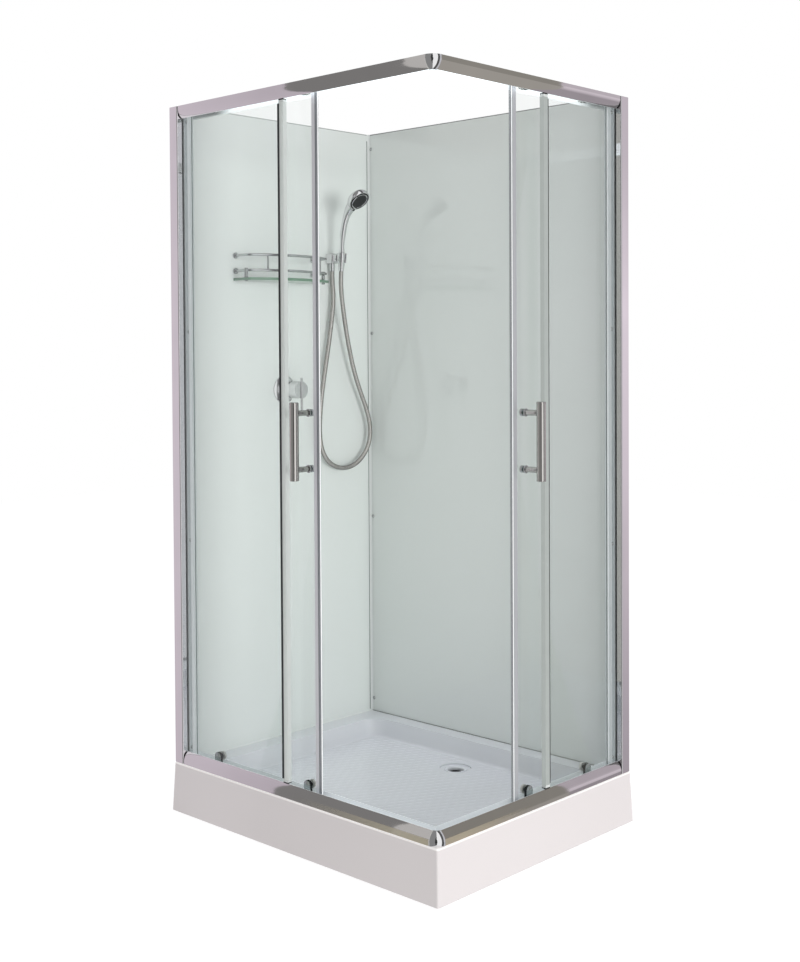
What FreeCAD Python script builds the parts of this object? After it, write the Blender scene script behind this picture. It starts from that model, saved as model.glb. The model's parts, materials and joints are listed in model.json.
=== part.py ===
import FreeCAD, Part
import math
import os
import Sketcher

# Rectangular corner shower enclosure: tray, aluminium frame, two fixed panes, two sliding doors,
# two back-painted glass wall panels, single-lever mixer, handshower with hose, and a glass shelf.
# Millimetres, +Z up. The origin is on the floor under the middle foot, the centre of the frame.
# The long door side faces -Y, the short door side faces +X, the fittings are on the -X wall.

os.makedirs("parts", exist_ok=True)
doc = FreeCAD.newDocument("shower_enclosure")
sheet = doc.addObject("Spreadsheet::Sheet", "Sizes")

# Driving sizes: name, value, what it is
SIZES = [
    ("enclosure_length", 1000.0, "frame, outside, along X"),
    ("enclosure_width", 800.0, "frame, outside, along Y"),
    ("rim_height", 145.0, "floor to the tray's rim"),
    ("frame_height", 1855.0, "tray's rim to the top of the frame"),
    ("panel_height", 1861.0, "tray's rim to the top of the wall panels"),
    ("running_gap", 0.3, "between pieces that move past each other or are slipped together"),
    ("overrun", 5.0, "how far a cutting shape runs past what it cuts"),
    # Tray
    ("apron_clearance", 8.0, "floor to the apron's lower edge"),
    ("rim_overhang", 3.0, "rim past the frame"),
    ("apron_flare", 6.0, "apron's lower edge past its upper one"),
    ("apron_corner_radius", 5.0, "apron's upright corner"),
    ("wall_side_setback", 8.0, "tray's wall sides in from what the door sides stand out"),
    ("tray_wall", 5.0, "acrylic shell"),
    ("rim_round", 3.0, "rim's rounded edge"),
    ("apron_return", 70.0, "apron's short ends on the wall sides"),
    ("rim_skirt", 38.0, "rim's folded edge on the wall sides"),
    ("basin_floor_height", 92.0, "floor to the standing surface"),
    ("ledge_door_side", 66.0, "frame's outside to the basin"),
    ("ledge_left", 90.0, "frame's outside to the basin"),
    ("ledge_back", 78.0, "frame's outside to the basin"),
    ("basin_corner_radius", 60.0, "basin corners at the rim"),
    ("basin_draft", 14.0, "how far the basin's sides lean in"),
    ("basin_edge_round", 10.0, "between the basin's sides and floor"),
    ("drain_x", 15.0, "waste's centre"),
    ("drain_from_back", 176.0, "frame's back to the waste's centre"),
    ("drain_recess_radius", 46.0, "round recess about the waste"),
    ("drain_recess_depth", 5.0, "recess below the standing surface"),
    ("drain_hole_radius", 28.0, "hole in the tray"),
    ("flange_lip", 5.0, "waste flange past the hole"),
    ("flange_thickness", 1.5, "waste flange's rim"),
    ("flange_wall", 3.0, "waste flange's tube"),
    ("trap_radius", 52.0, "trap's cup"),
    ("trap_depth", 50.0, "trap's cup"),
    ("trap_wall", 3.0, "trap's cup"),
    ("trap_outlet_radius", 20.0, "waste pipe spigot"),
    ("trap_outlet_length", 60.0, "waste pipe spigot past its neck"),
    ("trap_neck_radius", 19.0, "waste pipe spigot's neck"),
    ("trap_neck_length", 4.0, "waste pipe spigot's neck"),
    # Base frame and feet
    ("tube_side", 25.0, "square tube"),
    ("tube_wall", 2.0, "square tube"),
    ("base_end_inset", 105.0, "long tubes' ends in from the frame's ends"),
    ("base_front_inset", 112.0, "front tube's axis behind the frame's front"),
    ("base_back_inset", 104.0, "back tube's axis before the frame's back"),
    ("cross_tube_inset", 150.0, "cross tubes' axes in from the frame's ends"),
    ("foot_radius", 24.0, "foot pad"),
    ("foot_pad_height", 9.0, "foot pad"),
    ("foot_neck_radius", 11.0, "foot pad's boss"),
    ("foot_neck_height", 8.0, "foot pad's boss"),
    ("stud_radius", 6.0, "foot's threaded rod"),
    ("nut_across_flats", 19.0, "locknut"),
    ("nut_height", 9.0, "locknut"),
    ("thread_gap", 0.1, "thread clearance"),
    # Frame extrusions
    ("rail_depth", 56.0, "outside face to inside face"),
    ("rail_height", 33.0, "bottom and top rails"),
    ("rail_face", 9.0, "flat part of the rails' outer face"),
    ("rail_shoulder", 14.5, "how far the outer face curves in"),
    ("rail_face_radius", 34.0, "curve of the outer face"),
    ("rail_base", 3.0, "rail's web"),
    ("rail_lip_wall", 2.0, "rail's inner lip"),
    ("rail_lip_height", 20.0, "bottom rail's inner lip"),
    ("channel_depth", 20.0, "fixed pane's channel"),
    ("channel_wall", 1.8, "channel's inner wall"),
    ("channel_back_height", 25.0, "channel's inner wall above the rail's base"),
    ("chamber_wall", 2.5, "round the rail's closed chamber"),
    ("chamber_height", 8.0, "rail's closed chamber"),
    ("track_inset", 49.0, "outside face to the wheels' track"),
    ("track_width", 2.0, "track's fin"),
    ("bottom_track_height", 28.2, "top of the bottom track above the rail's base"),
    ("top_track_drop", 27.0, "top of the top track below the rail's top"),
    ("top_track_step", 4.0, "top track's fin above its ledge"),
    ("top_ledge_wall", 2.0, "top track's ledge"),
    ("top_ledge_reach", 7.0, "top track's ledge in from the lip"),
    ("post_width", 36.0, "wall posts, along the door side"),
    ("post_edge_radius", 3.0, "wall posts' outer edges"),
    ("post_chamber_width", 11.0, "wall posts' closed chamber"),
    ("slot_depth", 14.0, "posts' slots for panes and panels"),
    ("rail_end_gap", 4.0, "post to rail, filled by a rubber block"),
    ("corner_size", 28.0, "corner joint along each rail"),
    ("corner_proud", 1.0, "corner joint past the rails"),
    ("corner_leg", 30.0, "corner joint's leg inside each rail"),
    ("joint_gap", 0.2, "rail end to corner joint, and along the mitre"),
    # Glass
    ("glass_thickness", 5.0, "panes and doors"),
    ("fixed_glass_inset", 17.5, "outside face to the fixed panes"),
    ("door_glass_inset", 37.5, "outside face to the doors"),
    ("glass_gap", 0.3, "pane edges in their channels"),
    ("gasket_gap", 0.05, "gaskets to the glass and to their channels"),
    ("front_fixed_width", 464.0, "wall end to the pane's free edge, front"),
    ("side_fixed_width", 364.0, "wall end to the pane's free edge, side"),
    ("edge_profile_width", 17.0, "fixed pane's free edge profile"),
    ("edge_profile_depth", 13.0, "fixed pane's free edge profile"),
    ("edge_profile_bite", 12.5, "glass inside the edge profile"),
    ("edge_cap_height", 9.0, "rubber cap at each end of the profile"),
    ("clip_gap", 0.2, "glass to the profiles clipped on it"),
    # Doors
    ("door_park", 45.0, "wall end to the parked door's trailing edge"),
    ("front_door_width", 525.0, "over its seals"),
    ("side_door_width", 427.0, "over its seals"),
    ("door_glass_bottom", 11.0, "above the tray's rim"),
    ("door_glass_top", 8.0, "below the frame's top"),
    ("lead_profile_width", 14.0, "door's leading edge profile"),
    ("lead_profile_depth", 12.0, "door's leading edge profile"),
    ("lead_profile_bite", 11.0, "glass inside the leading profile"),
    ("lead_seal_width", 6.0, "magnetic seal at mid thickness"),
    ("lead_seal_depth", 10.0, "magnetic seal"),
    ("seal_end_gap", 2.0, "profiles short of the glass's ends"),
    ("trail_seal_width", 7.0, "trailing edge seal"),
    ("trail_seal_skin", 1.2, "trailing edge seal"),
    ("trail_fin_gap", 0.7, "trailing fin to the fixed pane's profile"),
    # Handles
    ("handle_height", 1080.0, "floor to the handles' middle"),
    ("handle_spacing", 145.0, "between stand-offs"),
    ("handle_length", 202.0, "bar"),
    ("handle_radius", 12.0, "bar"),
    ("handle_end_round", 2.0, "bar's ends"),
    ("handle_reach", 38.0, "glass to the bar's near side"),
    ("standoff_radius", 7.5, "handle's stand-off"),
    ("washer_radius", 10.5, "handle's gasket"),
    ("washer_thickness", 2.0, "handle's gasket"),
    ("knob_radius", 9.5, "handle's inner knob"),
    ("knob_length", 9.0, "handle's inner knob"),
    ("glass_hole_radius", 6.0, "holes in the glass"),
    ("handle_bolt_radius", 3.0, "handle's bolt"),
    ("front_handle_setback", 43.0, "leading edge to the handle, front door"),
    ("side_handle_setback", 59.0, "leading edge to the handle, side door"),
    # Wheels
    ("wheel_radius", 11.5, "door wheels"),
    ("wheel_groove_radius", 9.5, "door wheels, in the groove"),
    ("wheel_width", 6.0, "door wheels"),
    ("wheel_groove_width", 2.8, "door wheels"),
    ("axle_radius", 3.0, "wheel axles"),
    ("axle_running_gap", 0.05, "wheel on its axle"),
    ("axle_head_radius", 5.0, "wheel axle's head"),
    ("axle_head_thickness", 1.2, "wheel axle's head"),
    ("axle_shoulder_radius", 5.5, "wheel axle's shoulder, clamps the glass"),
    ("cover_width", 26.0, "wheel cover"),
    ("cover_thickness", 7.7, "wheel cover"),
    ("cover_tail", 17.0, "bottom wheel cover's square end past the axle"),
    ("top_cover_tail", 12.0, "top wheel cover's square end past the axle"),
    ("front_lead_wheel", 50.0, "leading edge to the wheels, front door"),
    ("side_lead_wheel", 61.0, "leading edge to the wheels, side door"),
    ("trail_wheel", 110.0, "trailing edge to the wheels"),
    # Wall panels
    ("panel_thickness", 6.0, "back-painted glass"),
    ("panel_setback", 25.0, "frame's outside to the panel's face"),
    ("panel_slot_gap", 0.3, "panel in the post's slot"),
    ("angle_leg", 33.0, "back corner angle"),
    ("angle_wall", 2.5, "back corner angle"),
    ("trim_leg", 8.0, "back corner trim strip"),
    ("screw_bottom", 41.0, "lowest screw above the tray's rim"),
    ("screw_pitch", 591.0, "between screws"),
    ("screw_inset", 33.0, "post screws behind the outside face"),
    ("screw_offset", 11.0, "corner screws beside the corner"),
    ("screw_head_radius", 5.5, "screws"),
    ("screw_head_height", 2.8, "screws"),
    ("screw_radius", 2.0, "screws"),
    ("screw_length", 9.0, "screws under the head"),
    ("hole_gap", 0.2, "round screws and studs"),
    # Mixer
    ("mixer_y", 3.0, "mixer's axis"),
    ("mixer_height", 1196.0, "mixer's axis above the floor"),
    ("escutcheon_radius", 42.5, "wall plate"),
    ("escutcheon_height", 9.0, "wall plate"),
    ("escutcheon_edge", 3.0, "wall plate's rim"),
    ("mixer_body_radius", 24.0, "mixer's fixed body"),
    ("mixer_body_length", 40.0, "mixer's fixed body past the panel"),
    ("mixer_housing_radius", 25.0, "housing behind the panel"),
    ("mixer_housing_length", 36.0, "housing behind the panel"),
    ("mixer_neck_radius", 17.0, "through the panel"),
    ("stem_radius", 7.0, "cartridge stem"),
    ("stem_length", 22.0, "cartridge stem"),
    ("head_radius", 26.0, "mixer's turning head"),
    ("head_length", 39.7, "mixer's turning head"),
    ("head_edge", 1.5, "mixer's turning head"),
    ("lever_radius", 4.5, "pin lever"),
    ("lever_up", 36.0, "pin lever above the mixer's axis"),
    ("lever_down", 77.0, "pin lever below the mixer's axis"),
    ("lever_sink", 1.0, "pin lever's axis behind the head's face"),
    ("lever_pivot_radius", 1.5, "pin lever's pivot"),
    ("lever_swing", 9.0, "room for the lever's upper half"),
    ("inlet_radius", 10.48, "half inch parallel thread"),
    ("inlet_length", 22.0, "supply connections"),
    ("inlet_neck_radius", 9.0, "plain neck behind each thread"),
    ("inlet_neck_length", 3.0, "plain neck behind each thread"),
    # Wall outlet, holder, handshower
    ("outlet_y", 195.0, "wall outlet's axis"),
    ("outlet_height", 1600.0, "wall outlet's middle"),
    ("block_side", 30.0, "wall outlet block"),
    ("block_edge", 2.5, "wall outlet block's edges"),
    ("outlet_drop", 15.0, "hose connection in front of the panel"),
    ("spigot_radius", 8.0, "hose connection"),
    ("spigot_length", 6.0, "hose connection"),
    ("hose_nut_radius", 9.5, "hose nuts, wide end"),
    ("hose_nut_end_radius", 8.2, "hose nuts, hose end"),
    ("outlet_nut_length", 24.0, "nut at the wall outlet"),
    ("holder_reach", 27.0, "block's face to the holder's axis"),
    ("holder_radius", 15.5, "holder's cone, outside"),
    ("holder_height", 29.0, "holder's cone"),
    ("holder_mouth", 15.0, "slot in the holder"),
    ("cone_top_radius", 12.0, "handset's cone"),
    ("cone_bottom_radius", 10.2, "handset's cone"),
    ("handset_nut_length", 26.0, "nut at the handset"),
    ("handset_forward", 81.3, "holder's axis to the face's middle"),
    ("handset_height", 183.0, "cone's foot to the face's middle"),
    ("head_disc_radius", 35.5, "handshower's head"),
    ("head_disc_thickness", 23.0, "handshower's head"),
    ("head_rim_depth", 7.0, "handshower's head, its upright rim"),
    ("spray_recess_radius", 33.5, "handshower's face"),
    ("spray_recess_depth", 4.0, "handshower's face"),
    ("spray_ring_radius", 30.0, "chrome ring on the face"),
    ("spray_ring_width", 1.8, "chrome ring on the face"),
    ("spray_ring_height", 0.8, "chrome ring on the face"),
    ("spray_proud", 1.2, "face past the head's rim"),
    ("tab_width", 7.0, "spray selector's tab"),
    ("tab_reach", 5.0, "spray selector's tab past the head"),
    ("hose_radius", 7.0, "shower hose"),
    ("hose_lead", 30.0, "hose's straight ends"),
    ("hose_drop", 640.0, "hose's lowest point below its start"),
    # Shelf
    ("shelf_y", -31.0, "shelf's middle"),
    ("shelf_width", 322.0, "shelf's glass"),
    ("shelf_side_depth", 74.0, "shelf's sides"),
    ("shelf_bow", 40.0, "front past the sides"),
    ("shelf_corner_radius", 14.0, "front corners"),
    ("shelf_height", 1519.0, "floor to the shelf's underside"),
    ("shelf_thickness", 8.0, "shelf's glass"),
    ("shelf_wall_gap", 1.5, "glass to the wall panel"),
    ("gallery_width", 308.0, "between the gallery rails' wall ends"),
    ("gallery_depth", 66.0, "gallery rails' sides"),
    ("gallery_bow", 38.0, "gallery rails' front past the sides"),
    ("gallery_corner_radius", 16.0, "gallery rails' bends"),
    ("gallery_radius", 3.8, "gallery rails"),
    ("lower_rail_height", 1548.0, "lower gallery rail"),
    ("upper_rail_height", 1593.0, "upper gallery rail"),
    ("rosette_radius", 9.0, "rails' wall rosettes"),
    ("rosette_thickness", 5.0, "rails' wall rosettes"),
    ("clip_setout", 50.0, "shelf clips in front of the wall"),
    ("clip_radius", 5.5, "shelf clips"),
    ("clip_foot", 3.0, "shelf clips under the glass"),
    ("rod_radius", 2.6, "upright between the rails"),
    ("rod_offset", 104.0, "uprights beside the shelf's middle"),
]

# Angles in degrees
HOLDER_TILT = 4.0
FACE_TILT = 46.0
RIGHT_ANGLE = 90.0
HALF_TURN = 180.0

for row, (alias, value, note) in enumerate(SIZES, start=1):
    sheet.set("A%d" % row, alias)
    sheet.set("B%d" % row, repr(value))
    sheet.set("C%d" % row, note)
    sheet.setAlias("B%d" % row, alias)
doc.recompute()


class Size:
    """A length with its value and its sheet expression, so that one sum gives both."""

    def __init__(self, value, text):
        self.value = value
        self.text = text

    def join(self, other, sign, value):
        return Size(value, "(%s %s %s)" % (self.text, sign, other.text))

    def __add__(self, other):
        return self.join(other, "+", self.value + other.value)

    def __sub__(self, other):
        return self.join(other, "-", self.value - other.value)

    def __neg__(self):
        return Size(-self.value, "(-1 * %s)" % self.text)

    def __mul__(self, share):
        return Size(self.value * share, "(%s * %r)" % (self.text, share))

    def __truediv__(self, share):
        return Size(self.value / share, "(%s / %r)" % (self.text, share))


class Sheet:
    """Reads a named size from the spreadsheet."""

    def __getattr__(self, alias):
        return Size(float(sheet.get(alias)), "Sizes." + alias)


s = Sheet()
ZERO = Size(0.0, "0")
NODES = {}


def keep(label, obj):
    """Name a finished sub-part, which is written to its own file."""
    obj.Label = label
    NODES[label] = obj
    return obj


def vector(x, y, z):
    return FreeCAD.Vector(x.value, y.value, z.value)


def place(obj, x, y, z, axis=None, angle=0.0):
    """Put an object at a named place, turned about an axis."""
    turn = FreeCAD.Rotation(axis or FreeCAD.Vector(0, 0, 1), angle)
    obj.Placement = FreeCAD.Placement(vector(x, y, z), turn)
    obj.setExpression("Placement.Base.x", x.text)
    obj.setExpression("Placement.Base.y", y.text)
    obj.setExpression("Placement.Base.z", z.text)
    return obj


def box(x0, x1, y0, y1, z0, z1):
    obj = doc.addObject("Part::Box", "block")
    obj.setExpression("Length", (x1 - x0).text)
    obj.setExpression("Width", (y1 - y0).text)
    obj.setExpression("Height", (z1 - z0).text)
    return place(obj, x0, y0, z0)


TURNS = {
    "+X": (FreeCAD.Vector(0, 1, 0), RIGHT_ANGLE),
    "-X": (FreeCAD.Vector(0, 1, 0), -RIGHT_ANGLE),
    "+Y": (FreeCAD.Vector(1, 0, 0), -RIGHT_ANGLE),
    "-Y": (FreeCAD.Vector(1, 0, 0), RIGHT_ANGLE),
    "+Z": (FreeCAD.Vector(0, 0, 1), 0.0),
    "-Z": (FreeCAD.Vector(1, 0, 0), HALF_TURN),
}


def rod(radius, x, y, z, way, length):
    """A cylinder from a point, along a row axis."""
    obj = doc.addObject("Part::Cylinder", "rod")
    obj.setExpression("Radius", radius.text)
    obj.setExpression("Height", length.text)
    axis, angle = TURNS[way]
    return place(obj, x, y, z, axis, angle)


def fused(parts):
    if len(parts) == 1:
        return parts[0]
    obj = doc.addObject("Part::MultiFuse", "fused")
    obj.Shapes = parts
    return obj


def cut(base, tools):
    obj = doc.addObject("Part::Cut", "cut")
    obj.Base = base
    obj.Tool = fused(tools)
    return obj


def group(parts):
    """Separate solids of one kind in one sub-part."""
    obj = doc.addObject("Part::Compound", "group")
    obj.Links = parts
    return obj


def moulded(shape):
    """A shape made by Part's own functions."""
    obj = doc.addObject("Part::Feature", "moulded")
    obj.Shape = shape
    return obj


# Sketches
# A loop is a list of corners (u, v); a corner with a radius and a side has an arc leading to it,
# whose centre is to the left (+1) or right (-1) of the way from the corner before.
def arc_centre(start, end, radius, side):
    along = end - start
    middle = (start + end) * 0.5
    reach = math.sqrt(radius ** 2 - (along.Length * 0.5) ** 2)
    left = FreeCAD.Vector(-along.y, along.x, 0).normalize()
    return middle + left * (reach * side)


def draw(sketch, loop):
    """Draw one closed loop, each corner and radius tied to the sheet."""
    first = sketch.GeometryCount
    ends = []
    for index, corner in enumerate(loop):
        before = loop[index - 1]
        start = FreeCAD.Vector(before[0].value, before[1].value, 0)
        end = FreeCAD.Vector(corner[0].value, corner[1].value, 0)
        if len(corner) == 2:
            sketch.addGeometry(Part.LineSegment(start, end), False)
            ends.append((1, 2))
            continue
        radius, side = corner[2], corner[3]
        centre = arc_centre(start, end, radius.value, side)
        a0 = math.atan2(start.y - centre.y, start.x - centre.x)
        a1 = math.atan2(end.y - centre.y, end.x - centre.x)
        circle = Part.Circle(centre, FreeCAD.Vector(0, 0, 1), radius.value)
        if side > 0:
            sketch.addGeometry(Part.ArcOfCircle(circle, a0, a1), False)
            ends.append((1, 2))
        else:
            sketch.addGeometry(Part.ArcOfCircle(circle, a1, a0), False)
            ends.append((2, 1))
    for index, corner in enumerate(loop):
        here = first + index
        after = first + (index + 1) % len(loop)
        tail = ends[index][1]
        sketch.addConstraint(
            Sketcher.Constraint("Coincident", here, tail, after, ends[(index + 1) % len(loop)][0]))
        pairs = [("DistanceX", corner[0]), ("DistanceY", corner[1])]
        for kind, size in pairs:
            spot = sketch.addConstraint(Sketcher.Constraint(kind, here, tail, size.value))
            sketch.setExpression("Constraints[%d]" % spot, size.text)
        if len(corner) > 2:
            spot = sketch.addConstraint(Sketcher.Constraint("Radius", here, corner[2].value))
            sketch.setExpression("Constraints[%d]" % spot, corner[2].text)


def plane_of(body, role):
    return [feature for feature in body.Origin.OriginFeatures if feature.Role == role][0]


def new_sketch(body, role, loops, offset=ZERO):
    sketch = body.newObject("Sketcher::SketchObject", "outline")
    sketch.AttachmentSupport = [(plane_of(body, role), "")]
    sketch.MapMode = "FlatFace"
    sketch.setExpression("AttachmentOffset.Base.z", offset.text)
    for loop in loops:
        draw(sketch, loop)
    return sketch


def padded(role, loops, offset, length, back=False):
    """A body whose outline, drawn on a base plane at an offset, is padded to a length."""
    body = doc.addObject("PartDesign::Body", "body")
    sketch = new_sketch(body, role, loops, offset)
    pad = body.newObject("PartDesign::Pad", "pad")
    pad.Profile = sketch
    pad.setExpression("Length", length.text)
    pad.Reversed = back
    body.Tip = pad
    return body


def turned(loops, x, y, z, axis, angle, sweep=360.0):
    """A body turned about its own Z axis, then placed and tilted."""
    body = doc.addObject("PartDesign::Body", "body")
    sketch = new_sketch(body, "XZ_Plane", loops)
    spin = body.newObject("PartDesign::Revolution", "turned")
    spin.Profile = sketch
    spin.ReferenceAxis = (sketch, ["V_Axis"])
    spin.Angle = sweep
    body.Tip = spin
    return place(body, x, y, z, axis, angle)


def stepped(x, y, z, way, steps):
    """A pin along a row axis, from its steps' radii and ends."""
    loop = [(ZERO, ZERO)]
    start = ZERO
    for radius, end in steps:
        loop += [(radius, start), (radius, end)]
        start = end
    axis, angle = TURNS[way]
    return turned([loop + [(ZERO, start)]], x, y, z, axis, angle)


def connection(x, y, z, way, reach):
    """A plain neck out to a length, then a thread."""
    thread_start = reach + s.inlet_neck_length
    thread_end = thread_start + s.inlet_length
    return stepped(x, y, z, way, [(s.inlet_neck_radius, thread_start), (s.inlet_radius, thread_end)])


def rectangle(u0, u1, v0, v1):
    return [(u0, v0), (u1, v0), (u1, v1), (u0, v1)]


# The two door sides
# u runs along a side from its wall end, d runs inwards from its outside face.
X_LEFT = -(s.enclosure_length / 2)
X_RIGHT = s.enclosure_length / 2
Y_FRONT = -(s.enclosure_width / 2)
Y_BACK = s.enclosure_width / 2
DRAIN_Y = Y_BACK - s.drain_from_back
FRAME_TOP = s.rim_height + s.frame_height
PANEL_X = X_LEFT + s.panel_setback
PANEL_Y = Y_BACK - s.panel_setback


class Side:
    """One door side: turns (u, d) into X and Y."""

    def __init__(self, name, run, mirrored):
        self.name = name
        self.run = run
        self.mirrored = mirrored
        self.inward = "-X" if mirrored else "+Y"
        self.outward = "+X" if mirrored else "-Y"

    def x(self, u, d):
        return X_RIGHT - d if self.mirrored else X_LEFT + u

    def y(self, u, d):
        return Y_BACK - u if self.mirrored else Y_FRONT + d

    def box(self, u0, u1, d0, d1, z0, z1):
        if self.mirrored:
            return box(X_RIGHT - d1, X_RIGHT - d0, Y_BACK - u1, Y_BACK - u0, z0, z1)
        return box(X_LEFT + u0, X_LEFT + u1, Y_FRONT + d0, Y_FRONT + d1, z0, z1)

    def rod(self, radius, u, z, d0, d1):
        return rod(radius, self.x(u, d0), self.y(u, d0), z, self.inward, d1 - d0)

    def plan(self, loop):
        """A plan outline in (u, d), as corners in X and Y."""
        corners = []
        for corner in loop:
            spot = (self.x(corner[0], corner[1]), self.y(corner[0], corner[1]))
            if len(corner) > 2:
                spot = spot + (corner[2], -corner[3] if self.mirrored else corner[3])
            corners.append(spot)
        return corners

    def upright(self, loops, z0, z1):
        return padded("XY_Plane", [self.plan(loop) for loop in loops], z0, z1 - z0)

    def along(self, loops, u0, u1):
        """A rail: its section in (d, z) run from u0 to u1."""
        if not self.mirrored:
            section = [[(Y_FRONT + c[0],) + tuple(c[1:]) for c in loop] for loop in loops]
            return padded("YZ_Plane", section, X_LEFT + u0, u1 - u0)
        section = []
        for loop in loops:
            corners = []
            for c in loop:
                spot = (X_RIGHT - c[0], c[1])
                if len(c) > 2:
                    spot = spot + (c[2], -c[3])
                corners.append(spot)
            section.append(corners)
        return padded("XZ_Plane", section, -(Y_BACK - u0), u1 - u0)

    def turned(self, loops, u, d, z):
        """A turned piece whose axis points inwards from (u, d, z)."""
        axis, angle = TURNS[self.inward]
        return turned(loops, self.x(u, d), self.y(u, d), z, axis, angle)


FRONT = Side("front", s.enclosure_length, False)
SIDE = Side("side", s.enclosure_width, True)
SIDES = [FRONT, SIDE]


# Tray
def rounded_plate(x0, x1, y0, y1, z, radius, square=()):
    """A flat rectangular wire with rounded corners, but for those named square."""
    x0, x1, y0, y1, z = [value.value for value in (x0, x1, y0, y1, z)]
    points = {"LF": (x0, y0), "RF": (x1, y0), "RB": (x1, y1), "LB": (x0, y1)}
    ways = {"LF": (0, -1, 1, 0), "RF": (1, 0, 0, 1), "RB": (0, 1, -1, 0), "LB": (-1, 0, 0, -1)}
    edges = []
    last = None
    first = None
    for name in ("LF", "RF", "RB", "LB"):
        px, py = points[name]
        ax, ay, bx, by = ways[name]
        r = 0.0 if name in square else radius.value
        start = FreeCAD.Vector(px - ax * r, py - ay * r, z)
        end = FreeCAD.Vector(px + bx * r, py + by * r, z)
        if last is not None:
            edges.append(Part.LineSegment(last, start).toShape())
        if r:
            lean = r * (1 - math.sqrt(0.5))
            middle = FreeCAD.Vector(px - (ax - bx) * lean, py - (ay - by) * lean, z)
            edges.append(Part.Arc(start, middle, end).toShape())
        first = first or start
        last = end
    edges.append(Part.LineSegment(last, first).toShape())
    return Part.Wire(edges)


def lofted(wires):
    return Part.makeLoft(wires, True, True)


def tray_plan(out, z, square=("LF", "RB", "LB")):
    wall_out = out - s.wall_side_setback
    return rounded_plate(X_LEFT - wall_out, X_RIGHT + out, Y_FRONT - out, Y_BACK + wall_out, z,
                         s.apron_corner_radius, square)


def basin_plan(inset, z, radius):
    return rounded_plate(X_LEFT + s.ledge_left + inset, X_RIGHT - s.ledge_door_side - inset,
                         Y_FRONT + s.ledge_door_side + inset, Y_BACK - s.ledge_back - inset,
                         z, radius)


def tray_skin(shrink, lift, top):
    """The tray's flared outside, made smaller for its inside."""
    lower = tray_plan(s.rim_overhang + s.apron_flare - shrink, s.apron_clearance - lift)
    upper = tray_plan(s.rim_overhang - shrink, top)
    return lofted([lower, upper])


def basin(inset, floor, top):
    """The basin's leaning sides from its floor to a level."""
    lower = basin_plan(s.basin_draft + inset, floor, s.basin_corner_radius - s.basin_draft)
    upper = basin_plan(inset, top, s.basin_corner_radius)
    return lofted([lower, upper])


def edges_at(shape, z):
    """Edges that lie level at a height."""
    level = 1e-3 * s.rim_height.value
    return [edge for edge in shape.Edges
            if abs(edge.BoundBox.ZMin - z.value) < level and edge.BoundBox.ZLength < level]


tray_under = s.rim_height - s.tray_wall
basin_under = s.basin_floor_height - s.tray_wall
recess_floor = s.basin_floor_height - s.drain_recess_depth
recess_under = recess_floor - s.tray_wall


def disc(radius, z0, z1, x=s.drain_x, y=DRAIN_Y):
    return Part.makeCylinder(radius.value, (z1 - z0).value, vector(x, y, z0))


skin = tray_skin(ZERO, ZERO, s.rim_height)
skin = skin.makeFillet(s.rim_round.value, edges_at(skin, s.rim_height))
hollow = tray_skin(s.tray_wall, s.overrun, tray_under)
tray = skin.cut(hollow)
outer_basin = basin(-s.tray_wall, basin_under, tray_under + s.tray_wall / 2)
tray = tray.fuse(outer_basin)
tray = tray.fuse(disc(s.drain_recess_radius + s.tray_wall, recess_under,
                      s.basin_floor_height - s.tray_wall / 2))
inner_basin = basin(ZERO, s.basin_floor_height, s.rim_height)
inner_basin = inner_basin.makeFillet(s.basin_edge_round.value, edges_at(inner_basin, s.basin_floor_height))
lid = lofted([basin_plan(ZERO, s.rim_height, s.basin_corner_radius),
              basin_plan(ZERO, s.rim_height + s.overrun, s.basin_corner_radius)])
tray = tray.cut(inner_basin.fuse(lid))
tray = tray.cut(disc(s.drain_recess_radius, recess_floor, s.basin_floor_height + s.overrun))
tray = tray.cut(disc(s.drain_hole_radius, recess_under - s.overrun, recess_floor + s.overrun))
skirt_end = s.rim_height - s.rim_skirt
tray_out = s.rim_overhang + s.apron_flare + s.overrun
left_open = Part.makeBox((tray_out + s.ledge_left / 2).value,
                         (s.enclosure_width - s.apron_return + tray_out).value,
                         (skirt_end + s.overrun).value,
                         vector(X_LEFT - tray_out, Y_FRONT + s.apron_return, -s.overrun))
back_open = Part.makeBox((s.enclosure_length - s.apron_return + tray_out).value,
                         (tray_out + s.ledge_back / 2).value,
                         (skirt_end + s.overrun).value,
                         vector(X_LEFT - tray_out, Y_BACK - s.ledge_back / 2, -s.overrun))
tray = tray.cut(left_open).cut(back_open).removeSplitter()
keep("tray_shell", moulded(tray))

# Waste: a flanged tube screwed through the tray into the trap's cup
flange_radius = s.drain_hole_radius + s.flange_lip
flange_tube = s.drain_hole_radius - s.running_gap
flange_bore = flange_tube - s.flange_wall
trap_top = recess_under - s.running_gap
flange_loop = [(flange_bore, recess_floor - s.tray_wall * 3.0), (flange_tube, recess_floor - s.tray_wall * 3.0),
               (flange_tube, recess_floor), (flange_radius, recess_floor),
               (flange_radius, recess_floor + s.flange_thickness), (flange_bore, recess_floor + s.flange_thickness)]
keep("waste_flange", turned([flange_loop], s.drain_x, DRAIN_Y, ZERO, None, 0.0))

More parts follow.
